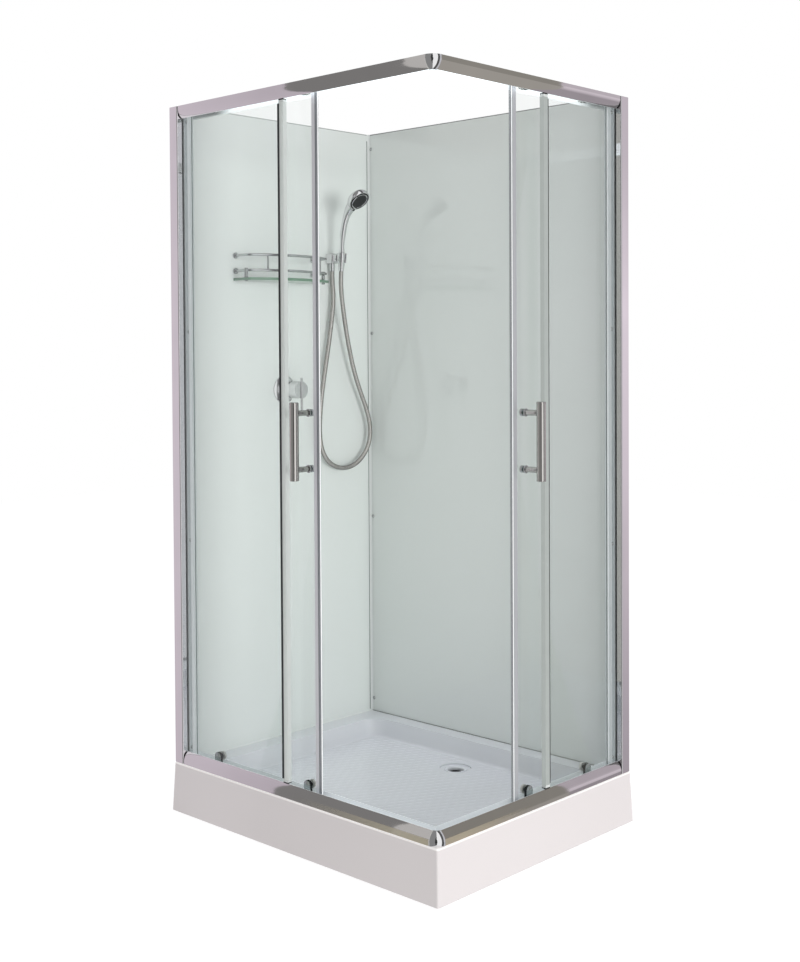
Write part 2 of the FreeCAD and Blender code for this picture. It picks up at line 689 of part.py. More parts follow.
cup_floor = trap_top - s.trap_depth
trap_neck_end = s.trap_radius + s.trap_neck_length
trap_outlet_end = trap_neck_end + s.trap_outlet_length
cup = fused([rod(s.trap_radius, s.drain_x, DRAIN_Y, cup_floor, "+Z", s.trap_depth),
             stepped(s.drain_x, DRAIN_Y, cup_floor + s.trap_depth / 2, "-X",
                     [(s.trap_neck_radius, trap_neck_end), (s.trap_outlet_radius, trap_outlet_end)])])
cup_space = [rod(s.trap_radius - s.trap_wall, s.drain_x, DRAIN_Y, cup_floor + s.trap_wall, "+Z",
                 s.trap_depth - s.trap_wall * 2.0),
             rod(s.drain_hole_radius, s.drain_x, DRAIN_Y, trap_top - s.trap_wall - s.overrun, "+Z",
                 s.trap_wall + s.overrun * 2.0),
             rod(s.trap_outlet_radius - s.trap_wall, s.drain_x, DRAIN_Y, cup_floor + s.trap_depth / 2, "-X",
                 trap_outlet_end + s.overrun)]
keep("waste_trap", cut(cup, cup_space))

# Base frame of square tube under the basin, with five feet
tube_top = basin_under
tube_low = tube_top - s.tube_side
half_tube = s.tube_side / 2
half_base = s.enclosure_length / 2 - s.base_end_inset
front_tube_y = Y_FRONT + s.base_front_inset
back_tube_y = Y_BACK - s.base_back_inset
left_tube_x = X_LEFT + s.cross_tube_inset
right_tube_x = X_RIGHT - s.cross_tube_inset


def tube_x(y, x0, x1, wall):
    """A tube along X, or its bore when a wall is taken off."""
    return box(x0, x1, y - half_tube + wall, y + half_tube - wall, tube_low + wall, tube_top - wall)


def tube_y(x, wall, grow):
    """A cross tube, or its bore, which grows into the long tubes' bores."""
    return box(x - half_tube + wall, x + half_tube - wall, front_tube_y + half_tube - grow,
               back_tube_y - half_tube + grow, tube_low + wall, tube_top - wall)


tube_solids = [tube_x(y, -half_base, half_base, ZERO) for y in (front_tube_y, back_tube_y)]
tube_solids += [tube_y(x, ZERO, half_tube) for x in (left_tube_x, right_tube_x)]
tube_solids += [tube_x(ZERO, left_tube_x, right_tube_x, ZERO)]
bore_half = half_base + s.overrun
bores = [tube_x(y, -bore_half, bore_half, s.tube_wall) for y in (front_tube_y, back_tube_y)]
bores += [tube_y(x, s.tube_wall, half_tube) for x in (left_tube_x, right_tube_x)]
bores += [tube_x(ZERO, left_tube_x, right_tube_x, s.tube_wall)]
FEET = [(ZERO, ZERO)]
for foot_x in (left_tube_x, right_tube_x):
    for foot_y in (front_tube_y, back_tube_y):
        FEET.append((foot_x, foot_y))
for foot_x, foot_y in FEET:
    bores.append(rod(s.stud_radius + s.hole_gap, foot_x, foot_y, tube_low - s.overrun, "+Z",
                     s.tube_wall + s.overrun * 2.0))
keep("tray_frame", cut(fused(tube_solids), bores))

foot_top = tube_low + s.tube_side / 2
foot_loop = [(ZERO, ZERO), (s.foot_radius, ZERO), (s.foot_radius, s.foot_pad_height),
             (s.foot_neck_radius, s.foot_pad_height), (s.foot_neck_radius, s.foot_pad_height + s.foot_neck_height),
             (s.stud_radius, s.foot_pad_height + s.foot_neck_height), (s.stud_radius, foot_top), (ZERO, foot_top)]
keep("levelling_feet", group([turned([foot_loop], x, y, ZERO, None, 0.0) for x, y in FEET]))


def nut(x, y, z):
    body = doc.addObject("Part::Prism", "nut")
    body.Polygon = 6
    body.setExpression("Circumradius", (s.nut_across_flats / math.sqrt(3.0)).text)
    body.setExpression("Height", s.nut_height.text)
    place(body, x, y, z)
    return cut(body, [rod(s.stud_radius + s.thread_gap, x, y, z - s.overrun, "+Z", s.nut_height + s.overrun * 2.0)])


keep("foot_locknuts", group([nut(x, y, tube_low - s.nut_height) for x, y in FEET]))

# Rails
channel_front = s.fixed_glass_inset - s.channel_wall + s.clip_gap * 3.0
channel_back = s.fixed_glass_inset + s.glass_thickness + s.channel_wall - s.clip_gap * 3.0
channel_far = channel_back + s.channel_wall
channel_floor = s.rail_height - s.channel_depth
track_near = s.track_inset - s.track_width / 2
track_far = s.track_inset + s.track_width / 2
lip_near = s.rail_depth - s.rail_lip_wall
chamber_low = s.chamber_wall
chamber_high = s.chamber_wall + s.chamber_height
chamber_near = s.chamber_wall
chamber_far = channel_back - s.chamber_wall


def outer_face(level, way):
    """The rail's face from its base corner to its shoulder; way is 1 up or -1 down."""
    return [(ZERO, level), (ZERO, level + s.rail_face * way),
            (s.rail_shoulder, level + s.rail_height * way, s.rail_face_radius, -way),
            (channel_front, level + s.rail_height * way), (channel_front, level + channel_floor * way),
            (channel_back, level + channel_floor * way), (channel_back, level + s.channel_back_height * way),
            (channel_far, level + s.channel_back_height * way), (channel_far, level + s.rail_base * way)]


def chamber(level, way):
    return rectangle(chamber_near, chamber_far, level + chamber_low * way, level + chamber_high * way)


def bottom_section(level):
    inner = [(track_near, level + s.rail_base), (track_near, level + s.bottom_track_height),
             (track_far, level + s.bottom_track_height), (track_far, level + s.rail_base),
             (lip_near, level + s.rail_base), (lip_near, level + s.rail_lip_height),
             (s.rail_depth, level + s.rail_lip_height), (s.rail_depth, level)]
    return [outer_face(level, 1) + inner, chamber(level, 1)]


def top_section(level):
    ledge = level - s.rail_height + s.top_ledge_wall
    ledge_near = lip_near - s.top_ledge_reach
    inner = [(lip_near, level - s.rail_base), (lip_near, ledge), (track_far, ledge),
             (track_far, ledge + s.top_track_step), (track_near, ledge + s.top_track_step),
             (track_near, ledge), (ledge_near, ledge), (ledge_near, level - s.rail_height),
             (s.rail_depth, level - s.rail_height), (s.rail_depth, level)]
    return [outer_face(level, -1) + inner, chamber(level, -1)]


def mitre(side, z0, z1):
    """What the corner joint and the other side's rail take away from a rail's end."""
    end = side.run - s.corner_size - s.joint_gap
    inner = side.run - s.rail_depth - s.joint_gap
    past = side.run + s.overrun
    loop = [(end, -s.overrun), (past, -s.overrun), (past, s.rail_depth + s.overrun),
            (inner - s.overrun, s.rail_depth + s.overrun), (end, s.corner_size)]
    return side.upright([loop], z0 - s.overrun, z1 + s.overrun)


rail_start = s.post_width + s.rail_end_gap
for side in SIDES:
    for name, section, low, high, level in (
            ("bottom", bottom_section, s.rim_height, s.rim_height + s.rail_height, s.rim_height),
            ("top", top_section, FRAME_TOP - s.rail_height, FRAME_TOP, FRAME_TOP)):
        blank = side.along(section(level), rail_start, side.run)
        keep("%s_%s_rail" % (side.name, name), cut(blank, [mitre(side, low, high)]))


# Corner joints: the rails' face turned through a quarter, with a leg into each rail
def corner_joint(level, way):
    turn_radius = s.corner_size
    loop = [(turn_radius + s.corner_proud, level),
            (turn_radius + s.corner_proud, level + s.rail_face * way),
            (turn_radius - s.rail_shoulder, level + (s.rail_height + s.corner_proud) * way,
             s.rail_face_radius, way),
            (turn_radius - channel_front, level + (s.rail_height + s.corner_proud) * way),
            (turn_radius - channel_front, level)]
    quarter = turned([loop], X_RIGHT - s.corner_size, Y_FRONT + s.corner_size, ZERO,
                     FreeCAD.Vector(0, 0, 1), -RIGHT_ANGLE, RIGHT_ANGLE)
    legs = []
    near = chamber_near + s.running_gap
    far = channel_front - s.running_gap
    low = level + (chamber_low + s.running_gap) * way
    high = level + (chamber_high - s.running_gap) * way
    for side in SIDES:
        start = side.run - s.corner_size - s.corner_leg
        end = side.run - s.corner_size + s.corner_proud
        if way > 0:
            legs.append(side.box(start, end, near, far, low, high))
        else:
            legs.append(side.box(start, end, near, far, high, low))
    return fused([quarter] + legs)


keep("bottom_corner_joint", corner_joint(s.rim_height, 1))
keep("top_corner_joint", corner_joint(FRAME_TOP, -1))

# Wall posts, screwed to the panels' edges
panel_far = s.panel_setback - s.panel_thickness
slot_low = panel_far - s.panel_slot_gap
slot_bottom = s.post_width - s.slot_depth
panel_bottom = s.rail_depth - s.slot_depth
SCREW_LEVELS = [s.rim_height + s.screw_bottom + s.screw_pitch * count for count in (0.0, 1.0, 2.0, 3.0)]
post_loop = [(ZERO, s.rail_depth), (ZERO, s.post_edge_radius),
             (s.post_edge_radius, ZERO, s.post_edge_radius, 1),
             (s.post_width - s.post_edge_radius, ZERO),
             (s.post_width, s.post_edge_radius, s.post_edge_radius, 1),
             (s.post_width, channel_front), (slot_bottom, channel_front),
             (slot_bottom, channel_back), (s.post_width, channel_back),
             (s.post_width, s.rail_depth), (s.panel_setback + s.panel_slot_gap, s.rail_depth),
             (s.panel_setback + s.panel_slot_gap, panel_bottom), (slot_low, panel_bottom), (slot_low, s.rail_depth)]
post_chamber = rectangle(s.chamber_wall, s.chamber_wall + s.post_chamber_width, s.chamber_wall,
                         s.rail_depth - s.chamber_wall)
screw_hole = s.screw_radius + s.hole_gap
for side, label in ((FRONT, "left_wall_post"), (SIDE, "right_wall_post")):
    post = side.upright([post_loop, post_chamber], s.rim_height, FRAME_TOP)
    holes = []
    for level in SCREW_LEVELS:
        reach = s.screw_length + s.overrun
        start_u = s.post_width - reach
        if side.mirrored:
            holes.append(rod(screw_hole, side.x(start_u, s.screw_inset), side.y(start_u, s.screw_inset),
                             level, "-Y", reach + s.overrun))
        else:
            holes.append(rod(screw_hole, side.x(start_u, s.screw_inset), side.y(start_u, s.screw_inset),
                             level, "+X", reach + s.overrun))
    keep(label, cut(post, holes))

# Screws: button head and shank, the head's foot at the given place
head_face = s.screw_head_height * 0.35
SCREW_LOOP = [(ZERO, -s.screw_length), (s.screw_radius, -s.screw_length), (s.screw_radius, ZERO),
              (s.screw_head_radius, ZERO), (s.screw_head_radius, head_face),
              (s.screw_head_radius * 0.45, s.screw_head_height), (ZERO, s.screw_head_height)]


def screw(x, y, z, way):
    axis, angle = TURNS[way]
    return turned([SCREW_LOOP], x, y, z, axis, angle)


screws = []
corner_screw_x = PANEL_X + s.screw_offset
for level in SCREW_LEVELS:
    screws.append(screw(X_LEFT + s.post_width, Y_FRONT + s.screw_inset, level, "+X"))
    screws.append(screw(X_RIGHT - s.screw_inset, Y_BACK - s.post_width, level, "-Y"))
    screws.append(screw(corner_screw_x, PANEL_Y, level, "-Y"))
keep("panel_screws", group(screws))

# Wall panels of back-painted glass, the angle behind their corner and the strip before it
panel_top = s.rim_height + s.panel_height
panel_edge = panel_bottom + s.panel_slot_gap
left_panel = box(PANEL_X - s.panel_thickness, PANEL_X, Y_FRONT + panel_edge, PANEL_Y + s.panel_thickness,
                 s.rim_height, panel_top)
neck_hole = s.mixer_neck_radius + s.running_gap
inlet_hole = s.inlet_radius + s.running_gap
left_holes = [rod(neck_hole, PANEL_X - s.panel_thickness - s.overrun, s.mixer_y, s.mixer_height, "+X",
                  s.panel_thickness + s.overrun * 2.0),
              rod(inlet_hole, PANEL_X - s.panel_thickness - s.overrun, s.outlet_y, s.outlet_height, "+X",
                  s.panel_thickness + s.overrun * 2.0)]
keep("left_wall_panel", cut(left_panel, left_holes))
rear_panel = box(PANEL_X + s.running_gap, X_RIGHT - panel_edge, PANEL_Y, PANEL_Y + s.panel_thickness,
                 s.rim_height, panel_top)
keep("rear_wall_panel", cut(rear_panel, [
    rod(screw_hole, corner_screw_x, PANEL_Y - s.overrun, level, "+Y", s.panel_thickness + s.overrun * 2.0)
    for level in SCREW_LEVELS]))
angle_x = PANEL_X - s.panel_thickness - s.running_gap
angle_y = PANEL_Y + s.panel_thickness + s.running_gap
angle_loop = [(angle_x, angle_y - s.angle_leg), (angle_x, angle_y), (angle_x + s.angle_leg, angle_y),
              (angle_x + s.angle_leg, angle_y + s.angle_wall), (angle_x - s.angle_wall, angle_y + s.angle_wall),
              (angle_x - s.angle_wall, angle_y - s.angle_leg)]
angle_body = padded("XY_Plane", [angle_loop], s.rim_height, s.panel_height)
keep("back_corner_angle", cut(angle_body, [
    rod(screw_hole, corner_screw_x, angle_y - s.overrun, level, "+Y", s.angle_wall + s.overrun * 2.0)
    for level in SCREW_LEVELS]))
trim_x = PANEL_X + s.running_gap
trim_y = PANEL_Y - s.running_gap
trim_loop = [(trim_x, trim_y), (trim_x, trim_y - s.trim_leg),
             (trim_x + s.trim_leg, trim_y, s.trim_leg * 1.6, -1)]
trim_body = padded("XY_Plane", [trim_loop], s.rim_height, s.panel_height)
head_space = s.screw_head_radius + s.running_gap
keep("back_corner_trim", cut(trim_body, [
    rod(head_space, corner_screw_x, trim_y - s.trim_leg - s.overrun, level, "+Y",
        s.trim_leg + s.overrun * 2.0) for level in SCREW_LEVELS]))

# Fixed panes with their free edge profiles, rubber caps and gaskets
glass_far = s.fixed_glass_inset + s.glass_thickness
pane_low = s.rim_height + channel_floor + s.glass_gap
pane_high = FRAME_TOP - channel_floor - s.glass_gap
profile_near = s.fixed_glass_inset + s.glass_thickness / 2 - s.edge_profile_depth / 2
profile_far = profile_near + s.edge_profile_depth
cap_low = s.rim_height + s.rail_height + s.running_gap
cap_high = FRAME_TOP - s.rail_height - s.running_gap
widths = {"front": s.front_fixed_width, "side": s.side_fixed_width}
rubbers = []
strips = []


def clip_loop(u_open, u_shut, d_near, d_far, bite_u, glass_near, way):
    """A U profile in plan round a glass edge; it is open at u_open."""
    slot_near_d = glass_near - s.clip_gap
    slot_far_d = glass_near + s.glass_thickness + s.clip_gap
    loop = [(u_open, d_near), (u_shut, d_near), (u_shut, d_far), (u_open, d_far),
            (u_open, slot_far_d), (bite_u, slot_far_d), (bite_u, slot_near_d), (u_open, slot_near_d)]
    return loop if way > 0 else loop[::-1]


for side in SIDES:
    free = widths[side.name]
    glass_end = free - s.edge_profile_width + s.edge_profile_bite
    keep("%s_fixed_glass" % side.name,
         side.box(slot_bottom + s.glass_gap, glass_end, s.fixed_glass_inset, glass_far, pane_low, pane_high))
    loop = clip_loop(free - s.edge_profile_width, free, profile_near, profile_far, glass_end + s.clip_gap,
                     s.fixed_glass_inset, 1)
    keep("%s_fixed_edge" % side.name,
         side.upright([loop], cap_low + s.edge_cap_height, cap_high - s.edge_cap_height))
    rubbers.append(side.upright([loop], cap_low, cap_low + s.edge_cap_height))
    rubbers.append(side.upright([loop], cap_high - s.edge_cap_height, cap_high))
    strip_near = channel_front + s.gasket_gap
    strip_far = s.fixed_glass_inset - s.gasket_gap
    strip_end = free - s.edge_profile_width - s.running_gap
    strip_depth = s.channel_depth / 3
    low_top = s.rim_height + s.rail_height
    high_low = FRAME_TOP - s.rail_height
    strips.append(side.box(rail_start, strip_end, strip_near, strip_far, low_top - strip_depth, low_top))
    strips.append(side.box(rail_start, strip_end, strip_near, strip_far, high_low, high_low + strip_depth))
    rubbers.append(side.box(s.post_width - strip_depth, s.post_width, strip_near, strip_far, cap_low, cap_high))
    block_near = s.corner_proud * 1.5
    block_far = s.fixed_glass_inset - s.corner_proud * 1.5
    block_high = s.rail_height - s.corner_proud * 2.0
    block_face = s.rail_face - s.corner_proud
    for level, way in ((s.rim_height, 1), (FRAME_TOP, -1)):
        block = [(block_near, level), (block_near, level + block_face * way),
                 (s.rail_shoulder, level + block_high * way, s.rail_face_radius, -way),
                 (block_far, level + block_high * way), (block_far, level)]
        rubbers.append(side.along([block], s.post_width + s.gasket_gap, rail_start - s.gasket_gap))
keep("rubber_seals", group(rubbers))
keep("frame_gaskets", group(strips))

# Sliding doors
door_low = s.rim_height + s.door_glass_bottom
door_high = FRAME_TOP - s.door_glass_top
door_far = s.door_glass_inset + s.glass_thickness
door_mid = s.door_glass_inset + s.glass_thickness / 2
wheel_low = s.rim_height + s.bottom_track_height + s.running_gap + s.wheel_groove_radius
wheel_high = FRAME_TOP - s.top_track_drop + s.running_gap + s.wheel_groove_radius
door_widths = {"front": s.front_door_width, "side": s.side_door_width}
handle_setbacks = {"front": s.front_handle_setback, "side": s.side_handle_setback}
lead_wheels = {"front": s.front_lead_wheel, "side": s.side_lead_wheel}
handle_levels = [s.handle_height - s.handle_spacing / 2, s.handle_height + s.handle_spacing / 2]


def door_handle(side, u):
    """Upright bar on two stand-offs that reach to the glass's gaskets."""
    bar_d = s.door_glass_inset - s.handle_reach - s.handle_radius
    half = s.handle_length / 2
    inset = s.handle_end_round
    loop = [(ZERO, -half), (s.handle_radius - inset, -half), (s.handle_radius, inset - half, inset, 1),
            (s.handle_radius, half - inset), (s.handle_radius - inset, half, inset, 1), (ZERO, half)]
    bar = turned([loop], side.x(u, bar_d), side.y(u, bar_d), s.handle_height, None, 0.0)
    end = s.door_glass_inset - s.washer_thickness - s.running_gap
    posts = [side.rod(s.standoff_radius, u, level, bar_d, end) for level in handle_levels]
    bolt_end = door_far + s.knob_length / 2
    posts += [side.rod(s.handle_bolt_radius, u, level, bar_d, bolt_end) for level in handle_levels]
    return fused([bar] + posts)


def handle_fixing(side, u, level):
    """Rubber washer outside the glass and chrome knob inside, round the handle's bolt."""
    bore = s.handle_bolt_radius + s.hole_gap
    washer_near = s.door_glass_inset - s.washer_thickness - s.running_gap / 2
    washer_far = s.door_glass_inset - s.running_gap / 2
    washer = cut(side.rod(s.washer_radius, u, level, washer_near, washer_far),
                 [side.rod(bore, u, level, washer_near - s.overrun, washer_far + s.overrun)])
    knob_near = door_far + s.running_gap
    edge = s.knob_length * 0.25
    knob_loop = [(bore, ZERO), (s.knob_radius, ZERO), (s.knob_radius, s.knob_length - edge),
                 (s.knob_radius - edge, s.knob_length, edge, 1), (ZERO, s.knob_length),
                 (ZERO, s.knob_length * 0.7), (bore, s.knob_length * 0.7)]
    knob = side.turned([knob_loop], u, knob_near, level)
    return [washer, knob]


def wheel_mount(side, u, level, way):
    """D-shaped cover outside the glass with the axle that carries the wheel inside."""
    half = s.cover_width / 2
    cover_far = s.door_glass_inset - s.running_gap
    cover_near = cover_far - s.cover_thickness
    disc_part = side.rod(half, u, level, cover_near, cover_far)
    tail = s.cover_tail if way > 0 else s.top_cover_tail
    if way > 0:
        square = side.box(u - half, u + half, cover_near, cover_far, level - tail, level)
    else:
        square = side.box(u - half, u + half, cover_near, cover_far, level, level + tail)
    wheel_near = s.track_inset - s.wheel_width / 2
    wheel_far = s.track_inset + s.wheel_width / 2
    axle = side.rod(s.axle_radius, u, level, cover_near + s.cover_thickness / 2, wheel_far + s.running_gap)
    shoulder = side.rod(s.axle_shoulder_radius, u, level, door_far + s.running_gap, wheel_near - s.running_gap)
    head_near = wheel_far + s.running_gap
    head = side.rod(s.axle_head_radius, u, level, head_near, head_near + s.axle_head_thickness)
    return fused([disc_part, square, axle, shoulder, head])


def wheel(side, u, level):
    """Grooved wheel whose axis lies across the door."""
    bore = s.axle_radius + s.axle_running_gap
    half = s.wheel_width / 2
    groove = s.wheel_groove_width / 2
    loop = [(bore, -half), (s.wheel_radius, -half), (s.wheel_radius, -groove),
            (s.wheel_groove_radius, -groove), (s.wheel_groove_radius, groove),
            (s.wheel_radius, groove), (s.wheel_radius, half), (bore, half)]
    return side.turned([loop], u, s.track_inset, level)


for side in SIDES:
    trail = s.door_park
    lead = trail + door_widths[side.name]
    glass_lead = lead - s.lead_seal_width - s.lead_profile_width + s.lead_profile_bite
    glass_trail = trail + s.trail_seal_skin * 3.0
    handle_u = lead - handle_setbacks[side.name]
    wheel_us = [lead - lead_wheels[side.name], trail + s.trail_wheel]
    holes = [side.rod(s.glass_hole_radius, handle_u, level, s.door_glass_inset - s.overrun, door_far + s.overrun)
             for level in handle_levels]
    holes += [side.rod(s.glass_hole_radius, u, level, s.door_glass_inset - s.overrun, door_far + s.overrun)
              for u in wheel_us for level in (wheel_low, wheel_high)]
    pane = side.box(glass_trail, glass_lead, s.door_glass_inset, door_far, door_low, door_high)
    keep("%s_door_glass" % side.name, cut(pane, holes))
    profile_open = lead - s.lead_seal_width - s.lead_profile_width
    profile_shut = lead - s.lead_seal_width
    lead_near = door_mid - s.lead_profile_depth / 2
    lead_far = door_mid + s.lead_profile_depth / 2
    low = door_low + s.seal_end_gap
    high = door_high - s.seal_end_gap
    loop = clip_loop(profile_open, profile_shut, lead_near, lead_far, glass_lead + s.clip_gap, s.door_glass_inset, 1)
    keep("%s_door_lead_profile" % side.name, side.upright([loop], low, high))
    half_seal = s.lead_seal_depth / 2
    seal_root = profile_shut + s.clip_gap / 2
    seal_tip = [(seal_root, door_mid - half_seal), (lead + half_seal, door_mid - half_seal),
                (lead - half_seal, door_mid + half_seal), (seal_root, door_mid + half_seal)]
    fin_end = profile_far + s.trail_fin_gap
    skin_t = s.trail_seal_skin
    jaw_near = s.door_glass_inset - s.clip_gap
    jaw_far = door_far + s.clip_gap
    shut = trail + skin_t * 2.0
    trail_loop = [(trail, fin_end), (trail + skin_t, fin_end), (trail + skin_t, jaw_near - skin_t),
                  (trail + s.trail_seal_width, jaw_near - skin_t), (trail + s.trail_seal_width, jaw_near),
                  (shut, jaw_near), (shut, jaw_far), (trail + s.trail_seal_width, jaw_far),
                  (trail + s.trail_seal_width, jaw_far + skin_t), (trail, jaw_far + skin_t)]
    keep("%s_door_seals" % side.name,
         group([side.upright([seal_tip], low, high), side.upright([trail_loop], low, high)]))
    keep("%s_door_handle" % side.name, door_handle(side, handle_u))
    fixings = []
    for level in handle_levels:
        fixings += handle_fixing(side, handle_u, level)
    keep("%s_handle_fixings" % side.name, group(fixings))
    mounts = []
    for place_name, u in zip(("lead", "trail"), wheel_us):
        mounts.append(wheel_mount(side, u, wheel_low, 1))
        mounts.append(wheel_mount(side, u, wheel_high, -1))
        keep("%s_wheel_%s_bottom" % (side.name, place_name), wheel(side, u, wheel_low))
        keep("%s_wheel_%s_top" % (side.name, place_name), wheel(side, u, wheel_high))
    keep("%s_wheel_mounts" % side.name, group(mounts))

# Mixer: wall plate, fixed body with its housing behind the panel, turning head and pin lever
axis_x, angle_x90 = TURNS["+X"]
plate_bore = s.mixer_body_radius + s.running_gap
plate_loop = [(plate_bore, s.running_gap), (s.escutcheon_radius, s.running_gap),
              (s.escutcheon_radius, s.escutcheon_edge),
              (plate_bore, s.escutcheon_height, s.escutcheon_radius * 1.2, 1)]
keep("mixer_escutcheon", turned([plate_loop], PANEL_X, s.mixer_y, s.mixer_height, axis_x, angle_x90))
housing_front = -(s.panel_thickness + s.running_gap)
housing_back = housing_front - s.mixer_housing_length
body_loop = [(ZERO, housing_back), (s.mixer_housing_radius, housing_back), (s.mixer_housing_radius, housing_front),
             (s.mixer_neck_radius, housing_front), (s.mixer_neck_radius, s.running_gap),
             (s.mixer_body_radius, s.running_gap), (s.mixer_body_radius, s.mixer_body_length),
             (s.stem_radius, s.mixer_body_length), (s.stem_radius, s.mixer_body_length + s.stem_length),
             (ZERO, s.mixer_body_length + s.stem_length)]
mixer_core = turned([body_loop], PANEL_X, s.mixer_y, s.mixer_height, axis_x, angle_x90)
inlet_x = PANEL_X + housing_front - s.mixer_housing_length * 0.6
inlets = [connection(inlet_x, s.mixer_y, s.mixer_height, way, s.mixer_housing_radius) for way in ("-Y", "+Y")]
keep("mixer_body", fused([mixer_core] + inlets))
head_start = s.mixer_body_length + s.running_gap
head_end = head_start + s.head_length
stem_bore = s.stem_radius + s.axle_running_gap
stem_end = s.mixer_body_length + s.stem_length + s.running_gap
head_loop = [(stem_bore, head_start), (s.head_radius, head_start), (s.head_radius, head_end - s.head_edge),
             (s.head_radius - s.head_edge, head_end, s.head_edge, 1), (ZERO, head_end), (ZERO, stem_end),
             (stem_bore, stem_end)]
head_body = turned([head_loop], PANEL_X, s.mixer_y, s.mixer_height, axis_x, angle_x90)
lever_x = PANEL_X + head_end - s.lever_sink
groove_back = lever_x - s.lever_radius - s.running_gap
groove_front = PANEL_X + head_end + s.overrun
groove_half = s.lever_radius + s.running_gap
past_head = s.head_radius + s.overrun
groove_loop = [(groove_back, s.mixer_height - past_head), (groove_front, s.mixer_height - past_head),
               (groove_front, s.mixer_height + past_head), (groove_back - s.lever_swing, s.mixer_height + past_head),
               (groove_back, s.mixer_height)]
groove = padded("XZ_Plane", [groove_loop], -(s.mixer_y + groove_half), groove_half * 2.0)
pivot = rod(s.lever_pivot_radius, lever_x, s.mixer_y - s.head_radius / 2, s.mixer_height, "+Y", s.head_radius)
keep("mixer_head", fused([cut(head_body, [groove]), pivot]))
lever = rod(s.lever_radius, lever_x, s.mixer_y, s.mixer_height - s.lever_down, "+Z", s.lever_up + s.lever_down)
lever_bore = rod(s.lever_pivot_radius + s.axle_running_gap, lever_x, s.mixer_y - s.head_radius, s.mixer_height,
                 "+Y", s.head_radius * 2.0)
keep("mixer_lever", cut(lever, [lever_bore]))

# Wall outlet: block with a supply pin through the panel and a hose connection below
half_block = s.block_side / 2
block = box(PANEL_X + s.running_gap, PANEL_X + s.block_side, s.outlet_y - half_block, s.outlet_y + half_block,
            s.outlet_height - half_block, s.outlet_height + half_block)
doc.recompute()
rounded = doc.addObject("Part::Fillet", "rounded")
rounded.Base = block
rounded.Edges = [(index + 1, s.block_edge.value, s.block_edge.value) for index in range(len(block.Shape.Edges))]
outlet_x = PANEL_X + s.outlet_drop
block_low = s.outlet_height - half_block
supply = connection(PANEL_X + s.block_side / 2, s.outlet_y, s.outlet_height, "-X",
                    s.block_side / 2 + s.panel_thickness)
spigot = rod(s.spigot_radius, outlet_x, s.outlet_y, block_low - s.spigot_length, "+Z",
             s.spigot_length + s.block_side / 2)
keep("outlet_block", fused([rounded, supply, spigot]))
nut_top = block_low - s.running_gap
nut_low = nut_top - s.outlet_nut_length
nut_bore = s.spigot_radius + s.thread_gap
nut_depth = nut_top - s.spigot_length - s.running_gap
outlet_nut_loop = [(ZERO, nut_low), (s.hose_nut_end_radius, nut_low), (s.hose_nut_radius, nut_top - s.spigot_length),
                   (s.hose_nut_radius, nut_top), (nut_bore, nut_top), (nut_bore, nut_depth), (ZERO, nut_depth)]
keep("hose_outlet_nut", turned([outlet_nut_loop], outlet_x, s.outlet_y, ZERO, None, 0.0))

# Holder: a tilted cone on a neck, slotted in front so that the hose passes
tilt = math.radians(HOLDER_TILT)
tilt_way = FreeCAD.Vector(math.sin(tilt), 0, math.cos(tilt))
tilt_axis = FreeCAD.Vector(0, 1, 0)
holder_x = PANEL_X + s.block_side + s.holder_reach
holder_z = s.outlet_height - s.holder_height / 2
cone_gap = s.running_gap
cone_loop = [(s.cone_bottom_radius + cone_gap, ZERO), (s.holder_radius - s.corner_proud, ZERO),
             (s.holder_radius, s.holder_height), (s.cone_top_radius + cone_gap, s.holder_height)]
cone = turned([cone_loop], holder_x, s.outlet_y, holder_z, tilt_axis, HOLDER_TILT)
neck_half = s.block_side / 3
neck = box(PANEL_X + s.block_side - s.block_edge, holder_x - s.cone_top_radius - s.block_edge,
           s.outlet_y - neck_half, s.outlet_y + neck_half, s.outlet_height - neck_half, s.outlet_height + neck_half)
block_clear = box(PANEL_X, PANEL_X + s.block_side + s.running_gap / 2, s.outlet_y - half_block - s.overrun,
                  s.outlet_y + half_block + s.overrun, block_low - s.overrun,
                  s.outlet_height + half_block + s.overrun)
bore_clear = turned([[(ZERO, -s.overrun), (s.cone_bottom_radius + cone_gap, -s.overrun),
                      (s.cone_bottom_radius + cone_gap, ZERO), (s.cone_top_radius + cone_gap, s.holder_height),
                      (s.cone_top_radius + cone_gap, s.holder_height + s.overrun),
                      (ZERO, s.holder_height + s.overrun)]],
                    holder_x, s.outlet_y, holder_z, tilt_axis, HOLDER_TILT)
mouth = box(holder_x, holder_x + s.holder_radius * 2.0, s.outlet_y - s.holder_mouth / 2,
            s.outlet_y + s.holder_mouth / 2, holder_z - s.overrun, holder_z + s.holder_height + s.overrun * 2.0)
keep("handset_holder", cut(fused([cone, neck]), [block_clear, bore_clear, mouth]))

# Handshower, in its own upright frame at the holder's cone: w is along the handle's lower end
base_point = vector(holder_x, s.outlet_y, holder_z)


def along_handle(w):
    return base_point + tilt_way * w.value


def ring_wire(centre, way, radius):
    return Part.Wire(Part.Circle(centre, way, radius).toShape())


